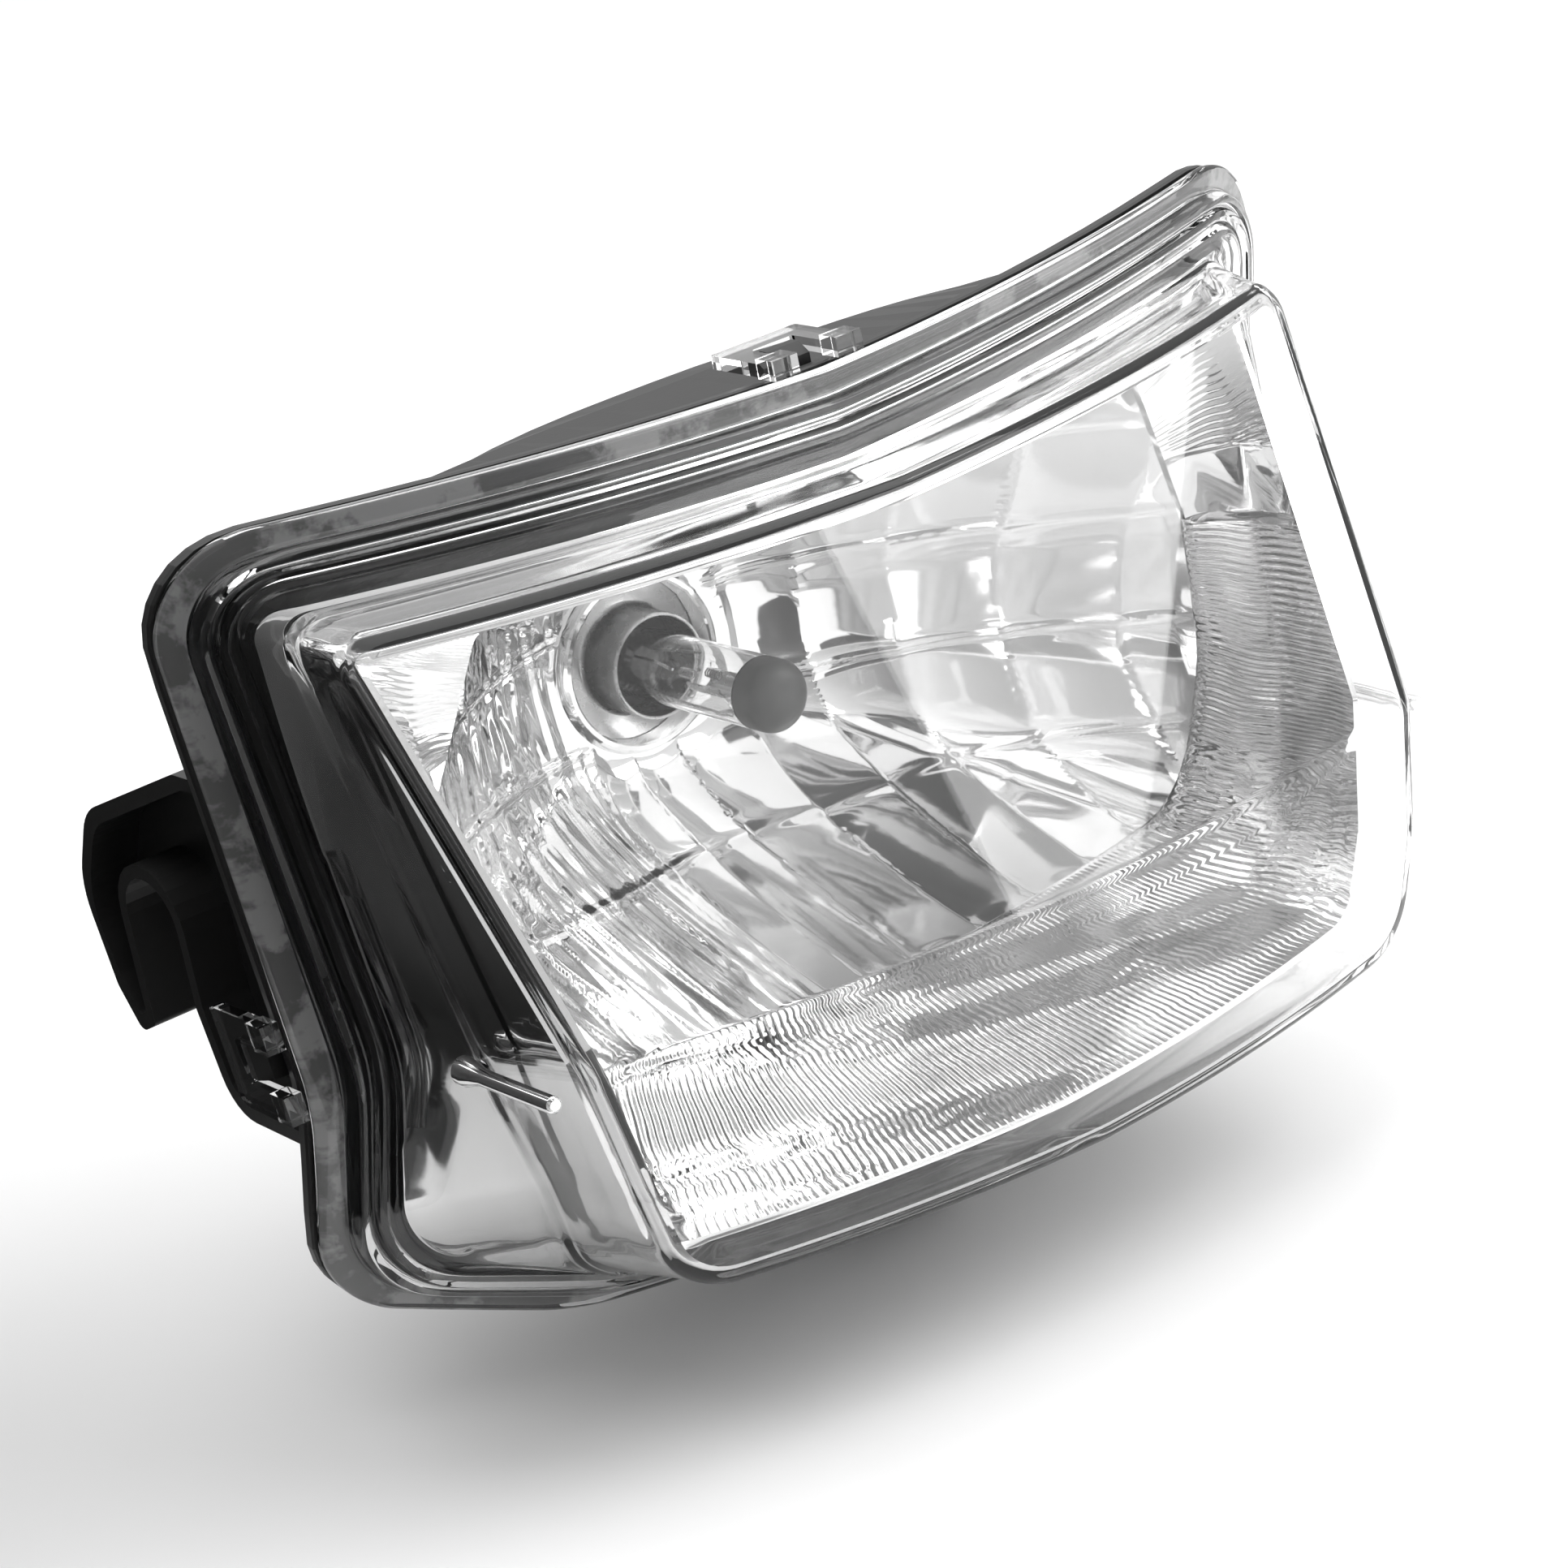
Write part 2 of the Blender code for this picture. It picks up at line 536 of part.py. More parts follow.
def arm(side):
    """A hook arm: a thin web with a rim round it, open at the foot of its slot."""
    start = behind(shell_front(ARM_SETBACK), BULGE * (ARM_OUT / 100.0) ** 2)
    front_y, front_z, foot_y, foot_z = float(start(ARM_TOP)), ARM_TOP, float(start(ARM_FOOT)), ARM_FOOT
    outline = rounded([(front_y, front_z, 0), *ARM_OUTLINE, (foot_y, foot_z, 0)], 6)
    rim, left, right = ARM_RIM, SLOT_Y - SLOT_R - ARM_RIM, SLOT_Y + SLOT_R + ARM_RIM
    corners = [(y - rim * 0.8, z - rim if z > -30 else z + rim, r) for y, z, r in ARM_OUTLINE[:4]]
    corners += [(right + 3.0, -41.5, 1.0), (right, -40.3, 0.6), (right, SLOT_TOP + rim, SLOT_R + rim - 0.2),
                (left, SLOT_TOP + rim, SLOT_R + rim - 0.2), (left, -33.0, 5.0), (left - 6.5, -54.1, 8.0)]
    slope = rim * (foot_y - front_y) / (front_z - foot_z)
    pocket = rounded([(front_y + slope, front_z - rim, 0), *corners, (foot_y - slope, foot_z + rim, 0)], 6)
    bm = bmesh.new()

    def row(points, x):
        return [bm.verts.new((side * x, y, z)) for y, z in points]

    inside, outside = row(outline, ARM_IN), row(outline, ARM_OUT)
    floor, lip = row(pocket, ARM_IN + ARM_WEB), row(pocket, ARM_OUT)
    top, foot = row([outline[0], outline[-1]], ARM_IN + ARM_WEB)
    faces = [inside, floor, outside + lip[::-1], [inside[-1], inside[0], top, floor[0], floor[-1], foot],
             [top, outside[0], lip[0], floor[0]], [floor[-1], lip[-1], outside[-1], foot]]
    for rows in ((inside, outside), (floor, lip)):
        for i in range(len(rows[0]) - 1):
            faces.append([rows[0][i], rows[0][i + 1], rows[1][i + 1], rows[1][i]])
    for corners in faces:
        if corners[0] is inside[0] and corners[-1] is outside[0]:
            corners.append(top)
        if corners[1] is inside[-1] and len(corners) == 4:
            corners.insert(2, foot)
        bm.faces.new(corners)
    bmesh.ops.recalc_face_normals(bm, faces=bm.faces)
    bmesh.ops.triangulate(bm, faces=[f for f in bm.faces if len(f.verts) > 4])
    return cutter(bm, f"arm_{side}")


def top_clip_place(a, b, c):
    return (a, CLIP_TOP_Y + b, CLIP_TOP_Z + c)


def side_clip_place(side):
    def place(a, b, c):
        return (side * (CLIP_SIDE_X + c + CLIP_LEAN * a), CLIP_SIDE_Y + b, SIDE_CLIP_Z + a)
    return place


flange_x, flange_z = flange * np.cos(ANGLES), flange * np.sin(ANGLES)
beside = (flange_x > 0) & (np.abs(flange_z - SIDE_CLIP_Z) < CLIP_W / 2 + 4)
above = (flange_z > 0) & (np.abs(flange_x) < CLIP_W / 2 + 4)
CLIP_LEAN = 0.1               # the side clips follow the slope of the flange's edge
CLIP_SIDE_X = float(np.max((flange_x - CLIP_LEAN * (flange_z - SIDE_CLIP_Z))[beside])) + GAP + 0.2
CLIP_TOP_Z = float(np.max(flange_z[above])) + GAP + 0.2
CLIP_TOP_Y = FLANGE_Y + FLANGE_THICK + 0.5
CLIP_SIDE_Y = float(flange_y(SIDE_CLIP_Z)) + BULGE * (CLIP_SIDE_X / 100) ** 2 + FLANGE_THICK + 0.5


def snap_wedges():
    """The wedges on the shell that the lens clips snap over."""
    half = CLIP_W / 2 - CLIP_LEG - CLIP_FLEX
    start, end = CLIP_BLOCK + 3.4, CLIP_REACH - CLIP_BAR - CLIP_FLEX
    found = []
    for place, name, root in ((top_clip_place, "wedge_top", -14.0),
                              (side_clip_place(-1), "wedge_left", -19.0),
                              (side_clip_place(1), "wedge_right", -19.0)):
        wedge = prism([(start, root), (end, root), (end, CLIP_THICK - 0.4), (end - 2.5, CLIP_THICK - 0.4),
                       (start, 0.4)], -half, half)
        for vert in wedge.verts:
            vert.co = place(*vert.co)
        found.append((wedge, name))
    return found


# ---- bezel and bowl ------------------------------------------------------------------------------
def make_bezel():
    wall = BEZEL_WALL
    clear = LENS_WALL + 0.8 + GAP
    edge, edge_y = offset(panel, -4.5), behind(flange_y, -RIDGE_HEIGHT + LENS_WALL + 1.0)
    base, base_y = offset(dome, -clear - 2.2), behind(dome_y, LENS_WALL + 1.8)
    lip, lip_y = offset(face, -clear - 1.5), behind(face_y, BEZEL_LIP)
    loops = [
        ring(edge, edge_y),
        ring(base, base_y),
        ring(lip, lip_y),
        ring(offset(lip, -1.4), behind(lip_y, 0.2)),
        ring(bowl, rim_y),
        ring(bowl, behind(rim_y, wall)),
        ring(offset(bowl, 5.0), behind(rim_y, wall)),
        ring(blend(offset(bowl, 5.0), offset(base, 0), 0.8), behind(base_y, wall + 4.0)),
        ring(edge, behind(edge_y, wall)),
    ]
    return finish(skin(loops, closed=True), "bezel", "mirror")


def bowl_loop(share, setback=0.0, grow=0.0):
    """Bowl section: radius runs from the hole to the rim, depth follows share ** BOWL_POWER."""
    start = HOLE_R + 3.0
    radius = start + (bowl + grow - start) * share
    x, z = radius * np.cos(ANGLES), radius * np.sin(ANGLES)
    rim = rim_y((bowl * np.sin(ANGLES))) + BULGE * (bowl * np.cos(ANGLES) / 100) ** 2
    y = HOLE_LIP + (rim + BEZEL_WALL + GAP - HOLE_LIP) * share ** BOWL_POWER + setback
    return np.stack([x, y, z], 1)


def make_reflector():
    shares = (0.0, 0.12, 0.26, 0.4, 0.55, 0.7, 0.85, 1.0)
    circle = np.ones_like(ANGLES)
    rim_top = behind(rim_y, BEZEL_WALL + GAP)
    front = [ring(bowl + 0.3, rim_top), *(bowl_loop(s, grow=0.3) for s in reversed(shares[:-1]))]
    back = [bowl_loop(s, BOWL_WALL, 0.3 + BOWL_WALL * 0.6) for s in shares if s > 0.2]
    loops = front + [
        ring(circle * (HOLE_R + 2.2), 0.4, 0.0),
        ring(circle * (HOLE_R + 1.4), 0.0, 0.0),
        ring(circle * (HOLE_R + 0.4), 0.0, 0.0),
        ring(circle * HOLE_R, 0.5, 0.0),
        ring(circle * HOLE_R, SEAT_Y, 0.0),
        ring(circle * LAND_R, SEAT_Y, 0.0),
        ring(circle * LAND_R, SEAT_Y - 2.0, 0.0),
    ] + back
    loops = [ring(offset(bowl, 4.4), rim_top), *loops, ring(offset(bowl, 4.4), behind(rim_top, BOWL_WALL))]
    reflector = finish(skin(loops, closed=True), "reflector", "mirror")
    for index, (x, z) in enumerate(screw_places()):
        hole = turned([(0, SEAT_Y - 4.0), (SCREW_R + 0.15, SEAT_Y - 4.0), (SCREW_R + 0.15, SEAT_Y + 1),
                       (0, SEAT_Y + 1)], (x, z), 16)
        boolean(reflector, cutter(hole, f"boss_hole_{index}"), "DIFFERENCE")
    return reflector


def screw_places():
    return [(-SCREW_PITCH_R, 0.0), (SCREW_PITCH_R, 0.0), (0.0, -SCREW_PITCH_R)]


# ---- bulb ----------------------------------------------------------------------------------------
COLLAR_Y = SEAT_Y + GAP
COLLAR_BACK = COLLAR_Y + COLLAR_THICK
WIRE_Y = COLLAR_BACK + GAP + WIRE_R


def bulb_piece(bm, name, colour, smooth=True):
    return finish(bm, name, colour, smooth, pivot=BULB_AXIS)


def make_bulb():
    bulb_piece(turned([(SLEEVE_R, SLEEVE_FRONT), (SLEEVE_R, COLLAR_Y), (COLLAR_R, COLLAR_Y),
                   (COLLAR_R, COLLAR_BACK), (SLEEVE_R - SLEEVE_WALL, COLLAR_BACK),
                   (SLEEVE_R - SLEEVE_WALL, SLEEVE_FRONT)], steps=40), "bulb_collar", "steel")
    tip = GLASS_TIP_Y
    skin_r = GLASS_R - PAINT_WALL - 0.05
    glass_back = COLLAR_Y - 1.0
    hollow_r = GLASS_R - GLASS_WALL
    bulb_piece(turned([(0, tip + PAINT_WALL + 0.1), (skin_r * 0.6, tip + PAINT_WALL + 0.5),
                   (skin_r * 0.9, tip + 2.2), (skin_r, tip + 4.5), (skin_r, tip + PAINT_LENGTH + 0.1),
                   (GLASS_R, tip + PAINT_LENGTH + 0.4), (GLASS_R, glass_back), (hollow_r, glass_back),
                   (hollow_r, tip + PAINT_LENGTH + 1.5), (hollow_r - 0.4, tip + 5.0),
                   (hollow_r * 0.8, tip + 3.0), (hollow_r * 0.4, tip + 1.9), (0, tip + 1.7)], steps=24),
           "bulb_glass", "clear")
    bulb_piece(turned([(0, tip), (skin_r * 0.62, tip + 0.3), (GLASS_R * 0.93, tip + 1.9), (GLASS_R, tip + 4.3),
                   (GLASS_R, tip + PAINT_LENGTH), (skin_r + 0.05, tip + PAINT_LENGTH),
                   (skin_r + 0.05, tip + 4.5), (skin_r * 0.9 + 0.05, tip + 2.15),
                   (skin_r * 0.6, tip + PAINT_WALL + 0.42), (0, tip + PAINT_WALL)], steps=24),
           "bulb_tip_paint", "paint")
    # Glass stem that holds the wires, inside the sleeve
    stem_r = GLASS_R - GLASS_WALL - GAP
    bulb_piece(turned([(0, -2.0), (stem_r * 0.55, -2.0), (stem_r, 1.0), (stem_r, COLLAR_BACK + 1.0),
                   (0, COLLAR_BACK + 1.0)], steps=24), "bulb_stem", "clear")
    base_front = COLLAR_BACK + GAP
    step = COLLAR_BACK + 2.0
    bulb_piece(turned([(SLEEVE_R - SLEEVE_WALL - GAP, step - 4.5), (SLEEVE_R - SLEEVE_WALL - GAP, base_front),
                   (BASE_R, base_front), (BASE_R, BASE_BACK - 1.0), (BASE_R - 1.0, BASE_BACK),
                   (0, BASE_BACK), (0, step), (GLASS_R + GAP, step), (GLASS_R + GAP, step - 4.5)], steps=40),
           "bulb_base", "base")
    base = bpy.data.objects["bulb_base"]
    half, thick = BLADE_W / 2, BLADE_THICK / 2
    blades = {"terminal_top": ((-half, 8.0 - thick), (half, 8.0 + thick)),
              "terminal_left": ((-8.0 - thick, -half - 2.0), (-8.0 + thick, half - 2.0)),
              "terminal_right": ((8.0 - thick, -half - 2.0), (8.0 + thick, half - 2.0))}
    root = BASE_BACK - 6.0
    for name, ((x0, z0), (x1, z1)) in blades.items():
        slot = box((x0 - 0.1, root - 0.1, z0 - 0.1), (x1 + 0.1, BASE_BACK + 2, z1 + 0.1))
        boolean(base, cutter(slot, f"{name}_slot"), "DIFFERENCE")
        bulb_piece(box((x0, root, z0), (x1, BASE_BACK + BLADE_LENGTH, z1)), name, "brass", smooth=False)
    coil("filament_low", -30.0, 1.6)
    coil("filament_high", -19.0, 0.0)
    # Low-beam shield: a half cup under the front filament
    arc = [math.radians(a) for a in range(-165, -14, 15)]
    dish = [(4.6 * math.cos(a), 1.6 + 4.6 * math.sin(a)) for a in arc]
    dish += [(4.1 * math.cos(a), 1.6 + 4.1 * math.sin(a)) for a in reversed(arc)]
    bulb_piece(prism(dish, -37.0, -24.5, axis="Y"), "filament_shield", "steel")
    wire = 0.35
    lead = (GLASS_R - GLASS_WALL - 1.22) / math.hypot(3.2, 5.4)      # the long lead runs close to the glass
    lead_x, lead_z = -3.2 * lead, -5.4 * lead
    bulb_piece(tube([(lead_x, -2.0 - GAP, lead_z + 1.0), (lead_x, -8.0, lead_z), (lead_x, -39.5, lead_z),
                     (-0.5, -39.5, -3.2), (-0.5, -39.5, 1.6), (0.0, -37.0, 1.6), (0.0, -35.0, 1.6)], wire, 8),
               "support_wire_front", "steel")
    bulb_piece(tube([(3.0, -2.0 - GAP, 2.2), (3.0, -22.0, 4.2), (1.4, -23.4, 2.6), (0.0, -23.6, 1.6),
                 (0.0, -24.6, 1.6)], wire, 8), "support_wire_middle", "steel")
    bulb_piece(tube([(-2.4, -2.0 - GAP, 2.4), (-1.8, -9.0, 2.0), (0.0, -12.0, 0.0), (0.0, -13.2, 0.0)], wire, 8),
           "support_wire_rear", "steel")


def coil(name, y, z):
    """A filament: a close helix across the bulb's length."""
    turns, length, per_turn = 6, 5.2, 7
    steps = turns * per_turn
    path = [(FILAMENT_R * math.cos(2 * math.pi * k / per_turn), y - length / 2 + length * k / steps,
             z + FILAMENT_R * math.sin(2 * math.pi * k / per_turn)) for k in range(steps + 1)]
    return bulb_piece(tube(path, FILAMENT_WIRE * 0.7, 5), name, "tungsten")


# ---- retainer ------------------------------------------------------------------------------------
def make_holder():
    hole_r = COLLAR_R + 0.5
    front, back = SEAT_Y + GAP, SEAT_Y + GAP + HOLDER_THICK
    holder = finish(turned([(hole_r, front), (HOLDER_OUT_R, front), (HOLDER_OUT_R, back), (hole_r, back)],
                           steps=40), "bulb_holder", "steel")
    for side in (-1, 1):
        low, high = sorted((side * 15.0, side * (15.0 + EAR_W)))
        ear = prism(rounded([(back - 0.6, HINGE_Z - EAR_R, 0), (WIRE_Y + EAR_R, HINGE_Z - EAR_R, 2.0),
                             (WIRE_Y + EAR_R, HINGE_Z + EAR_R, 2.0), (back - 0.6, HINGE_Z + EAR_R, 0)], 4),
                    low, high)
        boolean(holder, cutter(ear, f"ear_{side}"), "UNION")
        catch_x = WIRE_X + WIRE_R + GAP
        low, high = sorted((side * catch_x, side * (catch_x + 2.4)))
        post = box((low, back - 0.6, TIP_Z + 6.0), (high, WIRE_Y + 3.2, TIP_Z + 13.0))
        boolean(holder, cutter(post, f"catch_{side}"), "UNION")
    bore = turned([(0, -20.0), (WIRE_R + 0.25, -20.0), (WIRE_R + 0.25, 20.0), (0, 20.0)], (0, 0), 16)
    for vert in bore.verts:
        vert.co = (vert.co.y, WIRE_Y + vert.co.x, HINGE_Z + vert.co.z)
    boolean(holder, cutter(bore, "hinge_bore"), "DIFFERENCE")
    for index, (x, z) in enumerate(screw_places()):
        hole = turned([(0, front - 1), (SCREW_R + 0.3, front - 1), (SCREW_R + 0.3, back + 1), (0, back + 1)],
                      (x, z), 16)
        boolean(holder, cutter(hole, f"holder_hole_{index}"), "DIFFERENCE")
        head = back + GAP
        screw = turned([(0, SEAT_Y - 3.5), (SCREW_R * 0.6, SEAT_Y - 3.5), (SCREW_R, SEAT_Y - 2.6),
                        (SCREW_R, head), (SCREW_HEAD_R, head), (SCREW_HEAD_R, head + 1.2),
                        (SCREW_HEAD_R * 0.7, head + 1.9), (0, head + 1.9)], (x, z), 24)
        screw_obj = finish(screw, f"holder_screw_{index + 1}", "steel")
        for turn, (wide, tall) in enumerate(((1.6, 0.35), (0.35, 1.6))):
            slot = box((x - wide, head + 0.9, z - tall), (x + wide, head + 3.0, z + tall))
            boolean(screw_obj, cutter(slot, f"recess_{index}_{turn}"), "DIFFERENCE")


def make_wire():
    """The bail: a cross bar in the ears, two legs that press on the collar, and open ends."""
    right = [(WIRE_X - 1.5, WIRE_Y, HINGE_Z), (WIRE_X - 0.4, WIRE_Y, HINGE_Z - 0.5),
             (WIRE_X, WIRE_Y, HINGE_Z - 1.8), (WIRE_X, WIRE_Y, -2.0), (WIRE_X - 1.0, WIRE_Y, -4.0),
             (PRESS_X + 0.9, WIRE_Y, -10.4), (PRESS_X, WIRE_Y, -12.6), (PRESS_X, WIRE_Y, -16.0),
             (PRESS_X + 0.9, WIRE_Y, -18.2), (WIRE_X - 1.4, WIRE_Y, -23.6), (WIRE_X - 0.6, WIRE_Y, -25.4),
             (WIRE_X - 0.6, WIRE_Y, TIP_Z)]
    left = [(-x, y, z) for x, y, z in reversed(right)]
    return finish(tube(left + right, WIRE_R, 12), "retaining_wire", "steel", pivot=(0.0, WIRE_Y, HINGE_Z))


# ---- boot and vent -------------------------------------------------------------------------------
def make_boot():
    neck_out = NECK_R + NECK_WALL
    skirt_in, skirt_out = neck_out + GAP, neck_out + GAP + BOOT_WALL
    lid_front, lid_back = NECK_BACK + GAP, NECK_BACK + GAP + BOOT_WALL
    hub_in, hub_out = BASE_R + GAP, BASE_R + GAP + BOOT_WALL
    skirt_front = NECK_BACK - (NECK_BACK - NECK_FRONT - 1.0) + GAP
    profile = [(skirt_in, skirt_front), (skirt_out, skirt_front), (skirt_out, lid_back - 1.2),
               (skirt_out - 1.2, lid_back), (skirt_out - 9, lid_back), (skirt_out - 11, lid_back - 1.4),
               (skirt_out - 15, lid_back - 1.4), (skirt_out - 17, lid_back), (hub_out + 3, lid_back),
               (hub_out, lid_back + 1.5), (hub_out, lid_back + 3.5), (hub_in, lid_back + 3.5),
               (hub_in, lid_back + 3.5 - HUB_LENGTH), (hub_out, lid_back + 3.5 - HUB_LENGTH),
               (hub_out, lid_front - 1.0), (hub_out + 2, lid_front), (skirt_in - 14, lid_front),
               (skirt_in, lid_front)]
    return finish(turned(profile, steps=40), "rear_boot", "rubber", pivot=BULB_AXIS)


def make_vent():
    start = SPIGOT_BACK - VENT_LENGTH + 4.0
    inside, outside = SPIGOT_R + GAP, SPIGOT_R + GAP + VENT_WALL
    return finish(turned([(inside, start), (outside, start), (outside, SPIGOT_BACK + 3.0),
                          (outside - 1.5, SPIGOT_BACK + 4.2), (1.2, SPIGOT_BACK + 4.2), (1.2, SPIGOT_BACK + GAP),
                          (inside, SPIGOT_BACK + GAP)], (SPIGOT_X, SPIGOT_Z), 24), "vent_cap", "rubber")


make_lens()
make_clip("lens_clip_top", top_clip_place)
make_clip("lens_clip_left", side_clip_place(-1))
make_clip("lens_clip_right", side_clip_place(1))
make_seal()
make_housing()
make_bezel()
make_reflector()
make_bulb()
make_holder()
make_wire()
make_boot()
make_vent()
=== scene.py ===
import math

import bpy
import numpy as np
from mathutils import Matrix, Vector


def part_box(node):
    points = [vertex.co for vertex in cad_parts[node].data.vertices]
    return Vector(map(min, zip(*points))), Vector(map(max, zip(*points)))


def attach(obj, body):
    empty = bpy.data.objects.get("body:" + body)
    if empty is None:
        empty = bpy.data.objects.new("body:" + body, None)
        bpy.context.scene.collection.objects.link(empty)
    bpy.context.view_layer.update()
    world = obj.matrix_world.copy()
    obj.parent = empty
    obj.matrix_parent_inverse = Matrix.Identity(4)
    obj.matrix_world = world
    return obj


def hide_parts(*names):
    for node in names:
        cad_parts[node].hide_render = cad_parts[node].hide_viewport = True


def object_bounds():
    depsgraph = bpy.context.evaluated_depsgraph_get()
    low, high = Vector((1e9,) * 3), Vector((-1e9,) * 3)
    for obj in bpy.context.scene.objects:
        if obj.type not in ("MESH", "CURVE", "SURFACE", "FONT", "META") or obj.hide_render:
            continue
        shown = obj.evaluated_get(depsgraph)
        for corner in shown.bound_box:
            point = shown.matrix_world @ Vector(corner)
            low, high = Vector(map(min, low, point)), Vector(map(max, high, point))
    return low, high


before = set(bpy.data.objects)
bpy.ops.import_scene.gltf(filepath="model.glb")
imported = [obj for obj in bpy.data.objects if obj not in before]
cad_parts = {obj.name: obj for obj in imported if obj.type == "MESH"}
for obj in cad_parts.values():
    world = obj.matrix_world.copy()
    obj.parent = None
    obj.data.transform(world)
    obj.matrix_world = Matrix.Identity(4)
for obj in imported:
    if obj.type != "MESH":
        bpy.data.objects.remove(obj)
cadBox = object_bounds()
print("frame loaded:", len(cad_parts), "nodes")

collarLow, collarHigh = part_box("bulb_collar")
# The lamp is drawn in millimetres from the middle of the bulb's hole, 7.5 mm before the collar's back
lampOrigin = np.array([0.0, collarHigh[1] - 0.0075, (collarLow[2] + collarHigh[2]) / 2])

cameraSetup = {"eye": (-575.2, -936.0, 353.8), "right": (0.786773, -0.588535, -0.186051),
               "up": (0.343967, 0.167765, 0.923873), "back": (-0.512519, -0.790874, 0.334429),
               "focal": 115.53}


def addCamera():
    data = bpy.data.cameras.new("mainCamera")
    data.lens, data.sensor_width, data.sensor_height = cameraSetup["focal"], 36.0, 36.0
    camera = bpy.data.objects.new("mainCamera", data)
    turn = Matrix([cameraSetup[key] for key in ("right", "up", "back")]).transposed().to_4x4()
    place = Vector(lampOrigin + 0.001 * np.array(cameraSetup["eye"]))
    camera.matrix_world = Matrix.Translation(place) @ turn
    bpy.context.scene.collection.objects.link(camera)
    bpy.context.scene.camera = camera


addCamera()
print("camera placed")


class Value:  # one socket; its operators add Math nodes
    def __init__(self, tree, socket):
        self.tree, self.socket = tree, socket

    def math(self, operation, first, second):
        node = self.tree.nodes.new("ShaderNodeMath")
        node.operation = operation
        feed(node.inputs[0], first)
        feed(node.inputs[1], second)
        return Value(self.tree, node.outputs[0])

    def __add__(self, other): return self.math("ADD", self, other)
    def __radd__(self, other): return self.math("ADD", other, self)
    def __sub__(self, other): return self.math("SUBTRACT", self, other)
    def __rsub__(self, other): return self.math("SUBTRACT", other, self)
    def __mul__(self, other): return self.math("MULTIPLY", self, other)
    def __rmul__(self, other): return self.math("MULTIPLY", other, self)


def feed(slot, item):
    # A value is linked to the socket, and a plain number or colour is put in it
    if isinstance(item, Value):
        item.tree.links.new(item.socket, slot)
    else:
        slot.default_value = item


class Nodes:  # a node tree being built
    def __init__(self, owner):
        owner.use_nodes = True
        self.tree = owner.node_tree

    def add(self, kind, settings=None, **inputs):
        node = self.tree.nodes.new(kind)
        for key, setting in (settings or {}).items():
            if key == "stops":
                ramp = node.color_ramp.elements
                while len(ramp) < len(setting):
                    ramp.new(0.5)
                for stop, (at, colour) in zip(ramp, setting):
                    stop.position, stop.color = at, (*colour, 1.0)
            else:
                setattr(node, key, setting)
        for key, item in inputs.items():
            feed(node.inputs[int(key[1:]) if key[0] == "_" else key.replace("_", " ")], item)
        return node

    def read(self, node, output=0):
        return Value(self.tree, node.outputs[output])


class Finish(Nodes):  # a material being built, on Object coordinates
    def __init__(self, name):
        self.material = bpy.data.materials.new(name)
        super().__init__(self.material)
        self.place = self.read(self.add("ShaderNodeTexCoord"), "Object")

    def noise(self, scale, detail=3.0, roughness=0.5):
        # Cloudy values between 0 and 1, with the scale in clouds per metre
        return self.read(self.add("ShaderNodeTexNoise", Vector=self.place, Scale=scale, Detail=detail,
                                  Roughness=roughness), "Fac")

    def set(self, **inputs):
        for key, item in inputs.items():
            feed(self.tree.nodes["Principled BSDF"].inputs[key.replace("_", " ")], item)

    def mix(self, share, first, second):
        # A grey between two others
        return self.read(self.add("ShaderNodeMix", {"data_type": "RGBA"}, _0=share, _6=(first,) * 3 + (1.0,),
                                  _7=(second,) * 3 + (1.0,)), 2)

    def bump(self, height, strength, distance):
        node = self.add("ShaderNodeBump", Height=height, Strength=strength, Distance=distance)
        self.set(Normal=self.read(node, "Normal"))


# Each outline in mm: its top and bottom on the middle line, then its right side's corners as (x, z, radius)
outlines = {
    "flange": (81.0, -116.0, [(151.0, 86.0, 21.0), (134.5, -44.0, 70.0), (139.5, -91.0, 20.0),
                              (88.0, -110.5, 60.0)]),
    "panel": (66.5, -108.0, [(137.0, 72.5, 10.0), (119.5, -38.0, 60.0), (126.0, -85.0, 18.0),
                             (80.0, -101.5, 50.0)]),
    "dome": (62.0, -103.0, [(129.0, 66.0, 8.0), (117.0, -38.0, 60.0), (100.0, -94.0, 24.0)]),
    "face": (59.5, -86.0, [(127.0, 62.5, 7.0), (113.5, -28.4, 40.0), (108.0, -57.0, 30.0),
                           (101.0, -83.0, 17.0)]),
    "bowl": (50.0, -61.0, [(88.0, 52.0, 6.0), (105.0, 8.0, 30.0), (108.0, -26.0, 30.0), (96.0, -58.0, 22.0)]),
}
# Depths in mm: (height, y) on the middle line; the bulge is the sweep back 100 mm to either side
depths = {
    "bulge": 15.0, "ridge": 4.0, "wall": 3.0, "flangeThick": 3.0, "flangeTop": -96.0, "flangeLean": 0.115,
    "dome": ((-103.0, -93.0), (-82.0, -107.0), (-64.0, -113.0), (-32.0, -117.5), (66.0, -98.0)),
    "face": ((-86.0, -146.0), (-57.0, -151.0), (-28.4, -151.7), (62.0, -117.0)),
    "bowl": ((-61.0, -80.0), (50.0, -94.0)),
}


